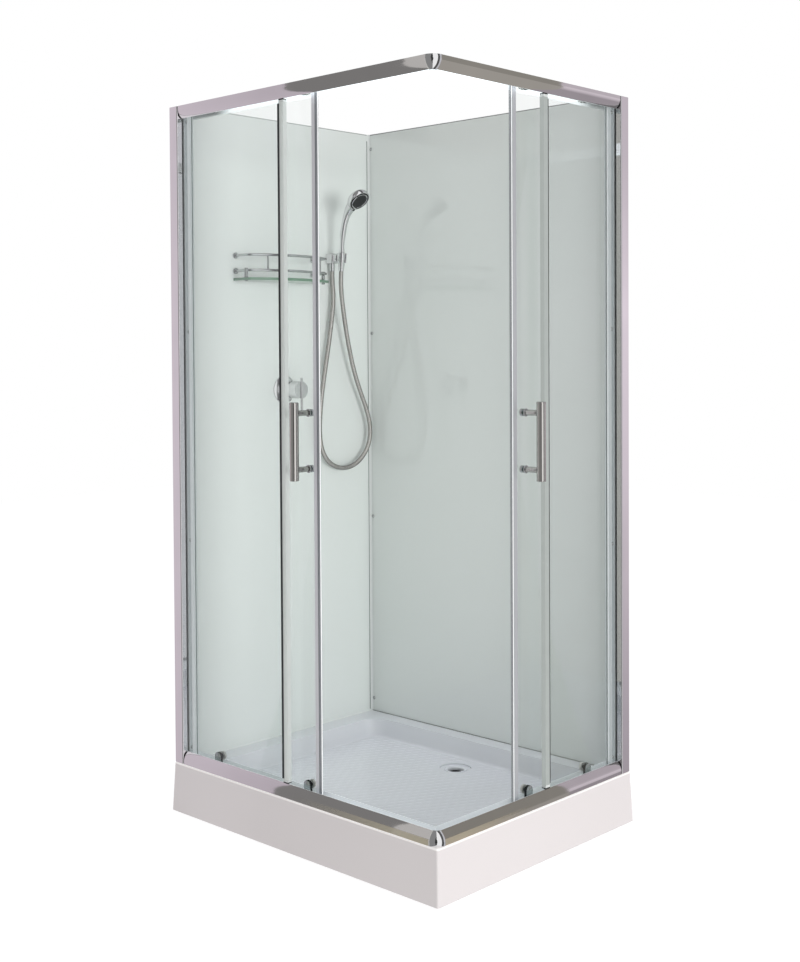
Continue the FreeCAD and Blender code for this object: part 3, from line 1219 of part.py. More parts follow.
# Handle stations: forward and up from the cone's foot, radius, all as shares of the handset's height,
# and lean in degrees
HANDLE_SHARES = [(0.010, 0.150, 0.040, 4.0), (0.016, 0.270, 0.036, 4.0), (0.025, 0.374, 0.039, 5.0),
                 (0.038, 0.476, 0.050, 8.0), (0.073, 0.626, 0.049, 15.0), (0.128, 0.773, 0.056, 25.0),
                 (0.205, 0.892, 0.068, 40.0), (0.300, 0.975, 0.085, 55.0)]
reach = s.handset_height.value
cone_shape = lofted([ring_wire(along_handle(ZERO), tilt_way, s.cone_bottom_radius.value),
                     ring_wire(along_handle(s.holder_height), tilt_way, s.cone_top_radius.value)])
stations = []
for forward, up, radius, lean in HANDLE_SHARES:
    lean_way = FreeCAD.Vector(math.sin(math.radians(lean)), 0, math.cos(math.radians(lean)))
    spot = base_point + FreeCAD.Vector(forward * reach, 0, up * reach)
    stations.append(ring_wire(spot, lean_way, radius * reach))
handle_shape = Part.makeLoft(stations, True, False)
face_angle = math.radians(FACE_TILT)
face_way = FreeCAD.Vector(math.cos(face_angle), 0, -math.sin(face_angle))
face_up = FreeCAD.Vector(math.sin(face_angle), 0, math.cos(face_angle))
face_point = base_point + vector(s.handset_forward, ZERO, s.handset_height)


def on_face(depth):
    """A point on the head's axis, depth behind its face."""
    return face_point - face_way * depth.value


def face_disc(radius, near, far):
    """A cylinder about the head's axis, from near to far behind its face."""
    return Part.makeCylinder(radius.value, (far - near).value, on_face(far), face_way)


def face_corner(radius, depth):
    return on_face(depth) + face_up * radius.value


# Head: a rounded rim, then a dome
rim_round = s.head_rim_depth / 4
knee = s.head_disc_thickness * 0.68
head_edges = [
    Part.LineSegment(on_face(ZERO), face_corner(s.head_disc_radius - rim_round, ZERO)).toShape(),
    Part.Arc(face_corner(s.head_disc_radius - rim_round, ZERO),
             face_corner(s.head_disc_radius - rim_round * 0.29, rim_round * 0.29),
             face_corner(s.head_disc_radius, rim_round)).toShape(),
    Part.LineSegment(face_corner(s.head_disc_radius, rim_round),
                     face_corner(s.head_disc_radius, s.head_rim_depth)).toShape(),
    Part.Arc(face_corner(s.head_disc_radius, s.head_rim_depth), face_corner(s.head_disc_radius * 0.74, knee),
             on_face(s.head_disc_thickness)).toShape(),
    Part.LineSegment(on_face(s.head_disc_thickness), on_face(ZERO)).toShape()]
head_face = Part.Face(Part.Wire(head_edges))
shell = head_face.revolve(face_point, face_way, 360)
shell = shell.fuse([cone_shape, handle_shape])
shell = shell.cut(face_disc(s.spray_recess_radius, -s.overrun, s.spray_recess_depth))
keep("handset_shell", moulded(shell.removeSplitter()))

# Spray face with its selector tab, and the chrome ring set into it
plate_radius = s.spray_recess_radius - s.running_gap
plate_back = s.spray_recess_depth - s.running_gap
plate = face_disc(plate_radius, -s.spray_proud, plate_back)
tab_length = s.head_disc_radius + s.tab_reach - plate_radius + s.tab_reach
tab = Part.makeBox(s.tab_width.value, tab_length.value, (s.spray_proud - s.running_gap / 2).value)
tab_start = (face_point + face_way * (s.running_gap / 2).value - face_up * (plate_radius - s.tab_reach).value
             + FreeCAD.Vector(0, (s.tab_width / 2).value, 0))
tab_turn = FreeCAD.Rotation(FreeCAD.Vector(0, -1, 0), face_up * -1.0, face_way, "ZYX")
tab.Placement = FreeCAD.Placement(tab_start, tab_turn)
plate = plate.fuse(tab)
ring_inner = s.spray_ring_radius - s.spray_ring_width
groove_ring = face_disc(s.spray_ring_radius, -s.spray_proud - s.overrun, ZERO)
groove_ring = groove_ring.cut(face_disc(ring_inner, -s.spray_proud - s.overrun * 2.0, s.overrun))
keep("spray_plate", moulded(plate.cut(groove_ring)))
ring_gap = s.running_gap / 3
ring = face_disc(s.spray_ring_radius - ring_gap, -s.spray_proud - s.spray_ring_height, -ring_gap)
ring = ring.cut(face_disc(ring_inner + ring_gap, -s.spray_proud - s.overrun, s.overrun))
keep("spray_ring", moulded(ring))

handset_nut_top = -s.running_gap
handset_nut_low = handset_nut_top - s.handset_nut_length
handset_nut_loop = [(ZERO, handset_nut_low), (s.hose_nut_end_radius, handset_nut_low),
                    (s.hose_nut_radius, handset_nut_top - s.spigot_length), (s.hose_nut_radius, handset_nut_top),
                    (ZERO, handset_nut_top)]
keep("handset_nut", turned([handset_nut_loop], holder_x, s.outlet_y, holder_z, tilt_axis, HOLDER_TILT))

# Shower hose: hangs in one loop from the wall outlet's nut to the handset's nut
hose_start = vector(outlet_x, s.outlet_y, nut_low)
hose_end = along_handle(handset_nut_low)
hose_first = hose_start - FreeCAD.Vector(0, 0, s.hose_lead.value)
hose_last = along_handle(handset_nut_low - s.hose_lead)
# Route between its two straight ends: forward, across and down from its start, as shares of its drop
HOSE_SHARES = [(0.007, 0.002, 0.128), (0.007, -0.009, 0.218), (0.007, -0.025, 0.311),
               (0.007, -0.044, 0.408), (0.007, -0.064, 0.505), (0.007, -0.082, 0.602),
               (0.007, -0.095, 0.699), (0.007, -0.099, 0.789), (0.008, -0.086, 0.870),
               (0.010, -0.044, 0.932), (0.011, 0.027, 0.964), (0.013, 0.100, 0.965),
               (0.014, 0.170, 0.935), (0.016, 0.227, 0.871), (0.018, 0.244, 0.785),
               (0.020, 0.219, 0.692), (0.022, 0.169, 0.596), (0.025, 0.125, 0.500),
               (0.028, 0.092, 0.403), (0.033, 0.063, 0.304), (0.040, 0.037, 0.204), (0.048, 0.015, 0.110)]
route = [hose_start, hose_first]
for forward, across, down in HOSE_SHARES:
    route.append(hose_start + FreeCAD.Vector(forward, across, -down) * s.hose_drop.value)
route += [hose_last, hose_end]


def arc_route(points):
    """Straight runs joined by tangent arcs; returns the wire and its arcs' radii."""
    edges = []
    radii = []
    here = points[0]
    for before, corner, after in zip(points, points[1:], points[2:]):
        back = before - corner
        ahead = after - corner
        turn = math.pi - back.getAngle(ahead)
        trim = 0.45 * min(back.Length, ahead.Length)
        radius = trim / math.tan(turn / 2)
        radii.append(radius)
        enter = corner + back.normalize() * trim
        leave = corner + ahead.normalize() * trim
        middle_way = (back + ahead).normalize()
        sag = radius / math.cos(turn / 2) - radius
        edges.append(Part.LineSegment(here, enter).toShape())
        edges.append(Part.Arc(enter, corner + middle_way * sag, leave).toShape())
        here = leave
    edges.append(Part.LineSegment(here, points[-1]).toShape())
    return Part.Wire(edges), radii


hose_wire, hose_radii = arc_route(route)
hose_profile = ring_wire(route[0], route[1] - route[0], s.hose_radius.value)
hose_shape = hose_wire.makePipeShell([hose_profile], True, False)
keep("shower_hose", moulded(hose_shape))
hose_section = math.pi * s.hose_radius.value ** 2
print("hose length %.1f mm, least radius %.1f mm" % (hose_wire.Length, min(hose_radii)))
print("hose radii", " ".join("%.0f" % radius for radius in hose_radii))
print("hose volume %.0f, section times length %.0f" % (hose_shape.Volume, hose_section * hose_wire.Length))


# Shelf: bow-fronted glass under two gallery rails
def bow_arc(width, depth, bow, corner, start_x):
    """The front arc's slope at the corners, its radius and its centre's X."""
    slope = 2 * math.atan(bow.value / (width.value / 2 - corner.value))
    radius = corner.value + (width.value / 2 - corner.value) / math.sin(slope)
    return slope, radius, start_x.value + depth.value + bow.value - radius


def bow_path(width, depth, bow, corner, start_x, z):
    """An open path: out from the wall, round a corner, along the bowed front and back."""
    slope, radius, arc_x = bow_arc(width, depth, bow, corner, start_x)
    half = width.value / 2

    def spot(x, y, hand):
        return FreeCAD.Vector(x, s.shelf_y.value + y * hand, z.value)

    def round_corner(angle, hand):
        x = start_x.value + depth.value - corner.value + corner.value * math.cos(angle)
        return spot(x, half - corner.value + corner.value * math.sin(angle), hand)

    edges = []
    for hand in (-1, 1):
        enter = round_corner(math.pi / 2, hand)
        bend = round_corner((math.pi / 2 + slope) / 2, hand)
        knee = round_corner(slope, hand)
        side_edges = [Part.LineSegment(spot(start_x.value, half, hand), enter).toShape(),
                      Part.Arc(enter, bend, knee).toShape()]
        edges.append((side_edges, knee))
    crest = spot(arc_x + radius, 0, 1)
    front = Part.Arc(edges[0][1], crest, edges[1][1]).toShape()
    return Part.Wire(Part.__sortEdges__(edges[0][0] + [front] + edges[1][0]))


glass_front = bow_path(s.shelf_width, s.shelf_side_depth, s.shelf_bow, s.shelf_corner_radius,
                       PANEL_X + s.shelf_wall_gap, s.shelf_height)
glass_ends = [vector(PANEL_X + s.shelf_wall_gap, s.shelf_y + s.shelf_width / 2 * hand, s.shelf_height)
              for hand in (-1.0, 1.0)]
glass_edges = glass_front.Edges + [Part.LineSegment(*glass_ends).toShape()]
glass_face = Part.Face(Part.Wire(Part.__sortEdges__(glass_edges)))
keep("shelf_glass", moulded(glass_face.extrude(FreeCAD.Vector(0, 0, s.shelf_thickness.value))))

gallery_rails = []
for level in (s.lower_rail_height, s.upper_rail_height):
    path = bow_path(s.gallery_width, s.gallery_depth, s.gallery_bow, s.gallery_corner_radius,
                    PANEL_X + s.rosette_thickness, level)
    start = vector(PANEL_X + s.rosette_thickness, s.shelf_y - s.gallery_width / 2, level)
    profile = ring_wire(start, FreeCAD.Vector(1, 0, 0), s.gallery_radius.value)
    gallery_rails.append(moulded(path.makePipeShell([profile], True, False)))
keep("shelf_rails", group(gallery_rails))

fixings = []
half_gallery = s.gallery_width / 2
half_shelf = s.shelf_width / 2
slope, arc_radius, arc_x = bow_arc(s.gallery_width, s.gallery_depth, s.gallery_bow, s.gallery_corner_radius,
                                   PANEL_X + s.rosette_thickness)
rod_x = arc_x + math.sqrt(arc_radius ** 2 - s.rod_offset.value ** 2)
rod_share = (rod_x - PANEL_X.value) / s.gallery_depth.value
rod_x = PANEL_X + s.gallery_depth * rod_share
rod_low = s.lower_rail_height + s.gallery_radius + s.running_gap
rod_high = s.upper_rail_height - s.gallery_radius - s.running_gap
clip_x = PANEL_X + s.clip_setout
clip_low = s.shelf_height - s.clip_foot
clip_top = s.lower_rail_height + s.gallery_radius + s.clip_foot
reach = s.clip_radius * 2.0
for hand in (-1.0, 1.0):
    end_y = s.shelf_y + half_gallery * hand
    for level in (s.lower_rail_height, s.upper_rail_height):
        fixings.append(rod(s.rosette_radius, PANEL_X + s.running_gap, end_y, level, "+X",
                           s.rosette_thickness - s.running_gap))
    clip_post = rod(s.clip_radius, clip_x, end_y, clip_low, "+Z", clip_top - clip_low)
    glass_end = s.shelf_y + (half_shelf + s.clip_gap) * hand
    inner_end = end_y - reach * hand
    slot_y = [glass_end, inner_end] if hand < 0 else [inner_end, glass_end]
    glass_clear = box(clip_x - reach, clip_x + reach, slot_y[0], slot_y[1], s.shelf_height - s.clip_gap,
                      s.shelf_height + s.shelf_thickness + s.clip_gap)
    rail_clear = rod(s.gallery_radius + s.clip_gap / 2, clip_x - reach, end_y, s.lower_rail_height, "+X",
                     reach * 2.0)
    fixings.append(cut(clip_post, [glass_clear, rail_clear]))
    fixings.append(rod(s.rod_radius, rod_x, s.shelf_y + s.rod_offset * hand, rod_low, "+Z", rod_high - rod_low))
keep("shelf_fixings", group(fixings))

# Write each sub-part
doc.recompute()
for obj in doc.Objects:
    if "Invalid" in obj.State or "Error" in obj.State:
        raise RuntimeError("%s %s failed: %s" % (obj.Label, obj.Name, obj.State))
for label, obj in NODES.items():
    shape = obj.Shape
    if shape.isNull() or not shape.isValid() or not shape.Solids:
        raise RuntimeError("%s has no valid solid" % label)
    shape.exportStep(os.path.join("parts", label + ".step"))
print("%d sub-parts" % len(NODES))
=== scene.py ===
import json
import math

import bpy
from mathutils import Matrix, Vector


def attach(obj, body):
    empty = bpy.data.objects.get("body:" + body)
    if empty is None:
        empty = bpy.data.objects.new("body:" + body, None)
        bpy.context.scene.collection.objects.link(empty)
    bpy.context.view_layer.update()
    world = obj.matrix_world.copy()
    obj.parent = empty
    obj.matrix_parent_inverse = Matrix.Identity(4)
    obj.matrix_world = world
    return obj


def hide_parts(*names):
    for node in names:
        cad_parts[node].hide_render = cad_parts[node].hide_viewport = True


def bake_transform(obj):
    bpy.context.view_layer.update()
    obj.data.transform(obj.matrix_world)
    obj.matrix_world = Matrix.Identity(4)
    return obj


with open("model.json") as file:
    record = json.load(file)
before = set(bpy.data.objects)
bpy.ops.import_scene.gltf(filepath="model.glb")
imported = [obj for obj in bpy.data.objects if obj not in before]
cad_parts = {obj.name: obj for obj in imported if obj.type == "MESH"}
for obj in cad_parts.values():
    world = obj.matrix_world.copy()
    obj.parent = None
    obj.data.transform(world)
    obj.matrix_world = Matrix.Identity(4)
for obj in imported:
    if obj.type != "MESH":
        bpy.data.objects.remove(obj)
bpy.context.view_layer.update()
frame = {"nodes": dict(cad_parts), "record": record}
bpy.ops.object.select_all(action="DESELECT")
scene = bpy.context.scene
scene.view_settings.view_transform = "Standard"
nodes = frame["nodes"]
body_of_node = {node: body for body, held in frame["record"]["behaviour"]["bodies"].items() for node in held}

# Camera, where the photograph was taken from
YAW, PITCH, ROLL = math.radians(43.763), math.radians(1.386), math.radians(-0.336)
eye = bpy.data.cameras.new("camera")
eye.lens = 50.66
eye.shift_x, eye.shift_y = 0.0123, -0.1016
eye.clip_end = 100.0
camera = bpy.data.objects.new("camera", eye)
scene.collection.objects.link(camera)
camera.matrix_world = (Matrix.Translation((2.5946, -2.7445, 1.3124)) @ Matrix.Rotation(YAW, 4, "Z")
                       @ Matrix.Rotation(math.pi / 2 - PITCH, 4, "X") @ Matrix.Rotation(ROLL, 4, "Z"))
scene.camera = camera


# Shader sums written as plain Python
class Value:
    """A number or colour inside a finish."""

    def __init__(self, recipe, socket):
        self.recipe, self.socket = recipe, socket

    def __add__(self, other):
        return self.recipe.worked("ADD", self, other)

    def __radd__(self, other):
        return self.recipe.worked("ADD", other, self)

    def __sub__(self, other):
        return self.recipe.worked("SUBTRACT", self, other)

    def __rsub__(self, other):
        return self.recipe.worked("SUBTRACT", other, self)

    def __mul__(self, other):
        return self.recipe.worked("MULTIPLY", self, other)

    def __rmul__(self, other):
        return self.recipe.worked("MULTIPLY", other, self)

    def __truediv__(self, other):
        return self.recipe.worked("DIVIDE", self, other)

    def __pow__(self, other):
        return self.recipe.worked("POWER", self, other)

    def __gt__(self, other):
        return self.recipe.worked("GREATER_THAN", self, other)

    def __lt__(self, other):
        return self.recipe.worked("LESS_THAN", self, other)

    def __abs__(self):
        return self.recipe.worked("ABSOLUTE", self)


class Recipe:
    """The nodes of a finish or of the studio's light."""

    def __init__(self, tree):
        self.tree = tree
        tree.nodes.clear()

    def node(self, kind, settings=None, inputs=None):
        made = self.tree.nodes.new("ShaderNode" + kind)
        for name, setting in (settings or {}).items():
            if name == "stops":
                elements = made.color_ramp.elements
                while len(elements) < len(setting):
                    elements.new(0.5)
                for element, (place, colour) in zip(elements, setting):
                    element.position, element.color = place, colour
            elif name == "blend_between_stops":
                made.color_ramp.interpolation = setting
            else:
                setattr(made, name, setting)
        for name, given in (inputs or {}).items():
            if isinstance(given, Value):
                self.tree.links.new(given.socket, made.inputs[name])
            else:
                made.inputs[name].default_value = given
        return [Value(self, out) for out in made.outputs]

    def worked(self, operation, *given):
        """A sum of numbers."""
        return self.node("Math", {"operation": operation}, dict(enumerate(given)))[0]

    def larger(self, first, second):
        return self.worked("MAXIMUM", first, second)

    def rise(self, value, start, end):
        """Nought up to the start, one from the end on, and even between."""
        return self.node("MapRange", None, {0: value, 1: start, 2: end, 3: 0.0, 4: 1.0})[0]

    def mix(self, share, first, second):
        """Two colours mixed."""
        return self.node("Mix", {"data_type": "RGBA"}, {0: share, 6: first, 7: second})[2]

    def layered(self, share, first, second):
        """Two shaders mixed."""
        return self.node("MixShader", None, {0: share, 1: first, 2: second})[0]

    def glowing(self, shader, colour, strength):
        """A shader with a glow of its own added."""
        glow = self.node("Emission", None, {"Color": colour, "Strength": strength})[0]
        return self.node("AddShader", None, {0: shader, 1: glow})[0]

    def noise(self, place, scale, detail=2.0, stretch=(1.0, 1.0, 1.0)):
        """Soft noise on a place, drawn out where the stretch is small."""
        stretched = self.node("Mapping", None, {"Vector": place, "Scale": stretch})[0]
        return self.node("TexNoise", None, {"Vector": stretched, "Scale": scale, "Detail": detail})[0]

    def place(self):
        """The point on the piece, in metres."""
        return self.node("TexCoord")[3]

    def parts(self, vector):
        return self.node("SeparateXYZ", None, {"Vector": vector})

    def looks(self, axis):
        """How squarely a face looks up an axis."""
        return self.parts(self.node("TexCoord")[1])[axis]

    def facing(self, axis):
        """How squarely a face looks along an axis, either way."""
        return abs(self.looks(axis))

    def bump(self, height, strength, distance):
        return self.node("Bump", None, {"Height": height, "Strength": strength, "Distance": distance})[0]

    def surface(self, shader):
        self.node("OutputMaterial", None, {"Surface": shader})


X, Y, Z = 0, 1, 2
WHITE = (1.0, 1.0, 1.0, 1.0)
SQUARE_ON, FLAT_ON = 0.5, 0.85  # past these a face looks along an axis, roughly or flatly

# Where a finish changes over a piece, in metres: the rails' painted tan reflection, the panels' dark top
# line, the tray's basin and painted edge highlight, the metal's webs (an axis, its way inwards and the
# start), and the caps' pale ends
PAINTED_REFLECTION_TOP, PAINTED_REFLECTION_FADE = 0.1610, 0.0025
PANEL_TOP_LINE = 2.0030
BASIN_HALF_LENGTH, BASIN_HALF_WIDTH, BASIN_SHIFT = 0.474, 0.374, 0.001
TRAY_HIGHLIGHT_FROM, TRAY_HIGHLIGHT_TO = 0.1395, 0.1435
FRONT_RAIL_WEB, SIDE_RAIL_WEB = (Y, 1.0, -0.385), (X, -1.0, -0.485)
LEFT_POST_WEB, RIGHT_POST_WEB = (Y, 1.0, -0.381), (X, -1.0, -0.481)
CAP_MIDDLE_HEIGHT, CAP_PALE_FROM, CAP_PALE_TO = 1.0725, 0.8850, 0.8915
FRONT_CAP_X, SIDE_CAP_Y, CAP_REACH = -0.0445, 0.0445, 0.0125


def paint(red, green, blue):
    """A colour as it looks on a screen, 0 to 255, made linear."""
    return tuple(((part / 255 + 0.055) / 1.055) ** 2.4 for part in (red, green, blue)) + (1.0,)


def finish(name):
    """A new finish, and the recipe that makes it."""
    made = bpy.data.materials.new(name)
    made.use_nodes = True
    return made, Recipe(made.node_tree)


def rim_of(recipe, sharpness):
    """How far a face turns away from the eye, nought for most of it and one at its very rim."""
    return recipe.node("LayerWeight", None, {"Blend": 0.5})[1] ** sharpness


def aluminium(name, along, inward, metal=(222, 219, 222), turned=0.0, glow=0.0, painted_reflection=None, dim_end=None):
    """Bright anodised extrusion with faint lines along its length, paler satin webs behind the glass with a
    painted glow, and a painted tan reflection of the tray along its foot that fades in along the rail. Turned
    is how far out of true the face stands, in degrees. Past a dim end the web glows less and is painted
    darker, painted shade, and its upper faces stay bright metal."""
    made, recipe = finish(name)
    place = recipe.place()
    stretch = tuple(1.5 if axis == along else 900.0 for axis in range(3))
    lines = recipe.noise(place, 1.0, 3.0, stretch)
    clouds = recipe.noise(place, 9.0, 2.0)
    stands = recipe.node("VectorRotate", {"rotation_type": "Z_AXIS"}, {
        "Vector": recipe.node("NewGeometry")[1], "Angle": math.radians(turned)})[0]
    normal = recipe.node("Bump", None, {
        "Height": lines, "Strength": 0.02, "Distance": 0.0001, "Normal": stands})[0]
    bright = recipe.node("BsdfPrincipled", None, {
        "Base Color": recipe.mix(clouds, paint(*metal), paint(*[part + 10 for part in metal])),
        "Metallic": 1.0, "Roughness": 0.012 + lines * 0.02, "Normal": normal})[0]
    parts = recipe.parts(place)
    # A tan matt band along the foot, fading in along the rail: a painted reflection of the tray below
    if painted_reflection:
        run, start, end, colour = painted_reflection
        low = recipe.rise(PAINTED_REFLECTION_TOP - parts[Z], 0.0, PAINTED_REFLECTION_FADE)
        painted_reflection_shader = recipe.node("BsdfPrincipled", None, {
            "Base Color": colour, "Metallic": 0.2, "Roughness": 0.4 + lines * 0.1})[0]
        bright = recipe.layered(low * recipe.rise(parts[run], start, end), bright, painted_reflection_shader)
    pale = recipe.mix(lines, paint(214, 218, 220), paint(226, 229, 231))
    painted_glow_colour = pale
    # Past the dim end the web's glow and pale colour are painted darker: painted shade
    if dim_end:
        run, start, end = dim_end
        along_run = recipe.rise(parts[run], start, end)
        painted_glow_colour = recipe.mix(along_run, paint(72, 74, 74), pale)
        pale = recipe.mix(along_run, paint(204, 208, 208), pale)
    web = recipe.node("BsdfPrincipled", None, {
        "Base Color": pale, "Metallic": 0.25, "Roughness": 0.36 + lines * 0.1})[0]
    axis, sign, start = inward
    behind = parts[axis] * sign > start
    if dim_end:
        behind = behind * (1.0 - (recipe.looks(Z) > SQUARE_ON))
    # The web's glow is painted light, as the web is no lamp
    recipe.surface(recipe.layered(behind, bright, recipe.glowing(web, painted_glow_colour, glow)))
    return made


def chrome(name, colour=(232, 232, 233), roughness=0.03, sharpness=3.0, rim=(88, 88, 90)):
    """Polished plating with slight wipe marks, painted darker where it turns away: a painted dark reflection.
    """
    made, recipe = finish(name)
    wiped = recipe.noise(recipe.place(), 60.0, 3.0)
    shader = recipe.node("BsdfPrincipled", None, {
        "Base Color": recipe.mix(rim_of(recipe, sharpness), paint(*colour), paint(*rim)), "Metallic": 1.0,
        "Roughness": roughness + wiped * 0.03})[0]
    recipe.surface(shader)
    return made


def faced_chrome(name, axis, face, wall):
    """Plated cover: a bright face along one axis, and the walls round it painted dark: a painted dark
    reflection.
    """
    made, recipe = finish(name)
    wiped = recipe.noise(recipe.place(), 60.0, 3.0)
    colour = recipe.mix(recipe.facing(axis) > FLAT_ON, paint(*wall), paint(*face))
    shader = recipe.node("BsdfPrincipled", None, {
        "Base Color": colour, "Metallic": 0.8, "Roughness": 0.12 + wiped * 0.05})[0]
    recipe.surface(shader)
    return made


def clear_glass(name, thickness, tint, edge):
    """Clear pane: see-through faces that mirror more at a slant, and dark green polished edges."""
    made, recipe = finish(name)
    slant = recipe.node("LayerWeight", None, {"Blend": 0.5})[1]
    mirror = 0.03 + slant ** 5.0 * 0.9
    sheer = recipe.node("BsdfTransparent", None, {"Color": tint})[0]
    gloss = recipe.node("BsdfGlossy", None, {"Color": WHITE, "Roughness": 0.01})[0]
    face = recipe.layered(mirror, sheer, gloss)
    streaks = recipe.noise(recipe.place(), 25.0, 3.0)
    rim = recipe.node("BsdfPrincipled", None, {
        "Base Color": recipe.mix(streaks, *edge), "Roughness": 0.12, "Coat Weight": 0.5})[0]
    recipe.surface(recipe.layered(recipe.facing(thickness) > SQUARE_ON, rim, face))
    return made


def painted_glass(name, thickness, colours, top, index):
    """Glass painted behind: a clean gloss over flat pale paint, darker along its top, with green edges."""
    made, recipe = finish(name)
    place = recipe.place()
    drift = recipe.noise(place, 1.6, 2.0)
    paint_behind = recipe.mix(recipe.parts(place)[Z] > PANEL_TOP_LINE, recipe.mix(drift, *colours), top)
    colour = recipe.mix(recipe.facing(thickness) > SQUARE_ON, PAINTED_EDGE, paint_behind)
    shader = recipe.node("BsdfPrincipled", None, {
        "Base Color": colour, "Roughness": 0.01 + drift * 0.02, "IOR": index})[0]
    recipe.surface(shader)
    return made


def acrylic(name, colours, basin):
    """Glossy vacuum-formed acrylic with a faint orange peel, painted cooler in the basin and warmer outside
    it as a tint of the light, with a painted highlight and a painted glow along its edge.
    """
    made, recipe = finish(name)
    place = recipe.place()
    drift = recipe.noise(place, 3.0, 3.0)
    peel = recipe.noise(place, 220.0, 2.0)
    x, y, z = recipe.parts(place)
    within = (abs(x) < BASIN_HALF_LENGTH) * (abs(y + BASIN_SHIFT) < BASIN_HALF_WIDTH)
    # Cooler in the basin, warmer outside it: a painted tint of the light each part gets
    colour = recipe.mix(within, recipe.mix(drift, *colours), recipe.mix(drift, *basin))
    # A painted highlight along the apron's top edge: whiter, with a painted glow
    edge = (1.0 - within) * recipe.rise(z, TRAY_HIGHLIGHT_FROM, TRAY_HIGHLIGHT_TO)
    colour = recipe.mix(edge, colour, paint(254, 251, 249))
    shader = recipe.node("BsdfPrincipled", None, {
        "Base Color": colour, "Roughness": 0.14 + drift * 0.06,
        "Coat Weight": 0.4, "Coat Roughness": 0.06, "Emission Strength": 1.0,
        "Emission Color": recipe.mix(edge, paint(0, 0, 0), paint(128, 126, 124)),
        "Normal": recipe.bump(peel, 0.05, 0.0004)})[0]
    recipe.surface(shader)
    return made


def plastic(name, colours, roughness, grain=400.0, strength=0.15):
    """Moulded plastic or rubber with a fine grain."""
    made, recipe = finish(name)
    place = recipe.place()
    grains = recipe.noise(place, grain, 2.0)
    drift = recipe.noise(place, 12.0, 2.0)
    shader = recipe.node("BsdfPrincipled", None, {
        "Base Color": recipe.mix(drift, *colours), "Roughness": roughness + grains * 0.12,
        "Normal": recipe.bump(grains, strength, 0.0003)})[0]
    recipe.surface(shader)
    return made


def cap_rubber(name, black, pale):
    """Black rubber that turns pale where a cap runs into its edge strip."""
    made, recipe = finish(name)
    place = recipe.place()
    grains = recipe.noise(place, 700.0, 2.0)
    x, y, z = recipe.parts(place)
    from_middle = abs(z - CAP_MIDDLE_HEIGHT)
    beside = recipe.larger(abs(x - FRONT_CAP_X) < CAP_REACH, abs(y - SIDE_CAP_Y) < CAP_REACH)
    into_strip = (from_middle > CAP_PALE_FROM) * (from_middle < CAP_PALE_TO) * beside
    colour = recipe.mix(into_strip, recipe.mix(grains, *black), recipe.mix(grains, *pale))
    shader = recipe.node("BsdfPrincipled", None, {
        "Base Color": colour, "Roughness": 0.55 + grains * 0.12,
        "Normal": recipe.bump(grains, 0.2, 0.0003)})[0]
    recipe.surface(shader)
    return made


def milky(name, colours, through, glow, lead=None):
    """Soft milky sealing strip that lets light soak through, with a painted glow added. Lead is the smokier
    part past the
    middle of an axis: which axis, which way, its colour and how sheer it is."""
    made, recipe = finish(name)
    drift = recipe.noise(recipe.place(), 40.0, 2.0)
    colour = recipe.mix(drift, *colours)
    front = recipe.node("BsdfDiffuse", None, {"Color": colour})[0]
    behind = recipe.node("BsdfTranslucent", None, {"Color": colour})[0]
    # The glow is painted light: the strip is no lamp
    body = recipe.glowing(recipe.layered(through, front, behind), colour, glow)
    gloss = recipe.node("BsdfGlossy", None, {"Color": WHITE, "Roughness": 0.2 + drift * 0.1})[0]
    body = recipe.layered(0.05, body, gloss)
    if lead:
        axis, way, smoke, sheer = lead
        soft = recipe.node("BsdfDiffuse", None, {"Color": smoke})[0]
        clear = recipe.node("BsdfTransparent", None, {"Color": (0.98, 0.985, 0.98, 1.0)})[0]
        past = recipe.parts(recipe.place())[axis] * way > 0.0
        body = recipe.layered(past, body, recipe.layered(sheer, soft, clear))
    recipe.surface(body)
    return made


def satin(name, colours, metallic, roughness, rim, sharpness=3.0):
    """Satin metal with fine upright lines, painted darker at its rim where it turns away: a painted dark
    reflection.
    """
    made, recipe = finish(name)
    lines = recipe.noise(recipe.place(), 1.0, 3.0, (1400.0, 1400.0, 2.0))
    shader = recipe.node("BsdfPrincipled", None, {
        "Base Color": recipe.mix(rim_of(recipe, sharpness), recipe.mix(lines, *colours), rim),
        "Metallic": metallic, "Roughness": roughness + lines * 0.1,
        "Normal": recipe.bump(lines, 0.06, 0.0002)})[0]
    recipe.surface(shader)
    return made


def zinc(name, colours):
    """Galvanised or mill-finish metal with soft spangle."""
    made, recipe = finish(name)
    place = recipe.place()
    spangle = recipe.noise(place, 120.0, 1.0)
    shader = recipe.node("BsdfPrincipled", None, {
        "Base Color": recipe.mix(spangle, *colours), "Metallic": 0.9,
        "Roughness": 0.35 + spangle * 0.2})[0]
    recipe.surface(shader)
    return made


def hose_metal(name):
    """Stainless hose: bright crowns, browner grooves between the turns, and painted darker at its rim: a
    painted dark reflection.
    """
    made, recipe = finish(name)
    groove = recipe.node("Attribute", {"attribute_name": "groove"})[2]
    wear = recipe.noise(recipe.place(), 300.0, 2.0)
    turns = recipe.mix(groove, paint(254, 252, 248), paint(160, 150, 142))
    shader = recipe.node("BsdfPrincipled", None, {
        "Base Color": recipe.mix(rim_of(recipe, 0.6), turns, paint(34, 29, 27)),
        "Metallic": 0.7, "Roughness": 0.16 + groove * 0.2 + wear * 0.08})[0]
    recipe.surface(shader)
    return made


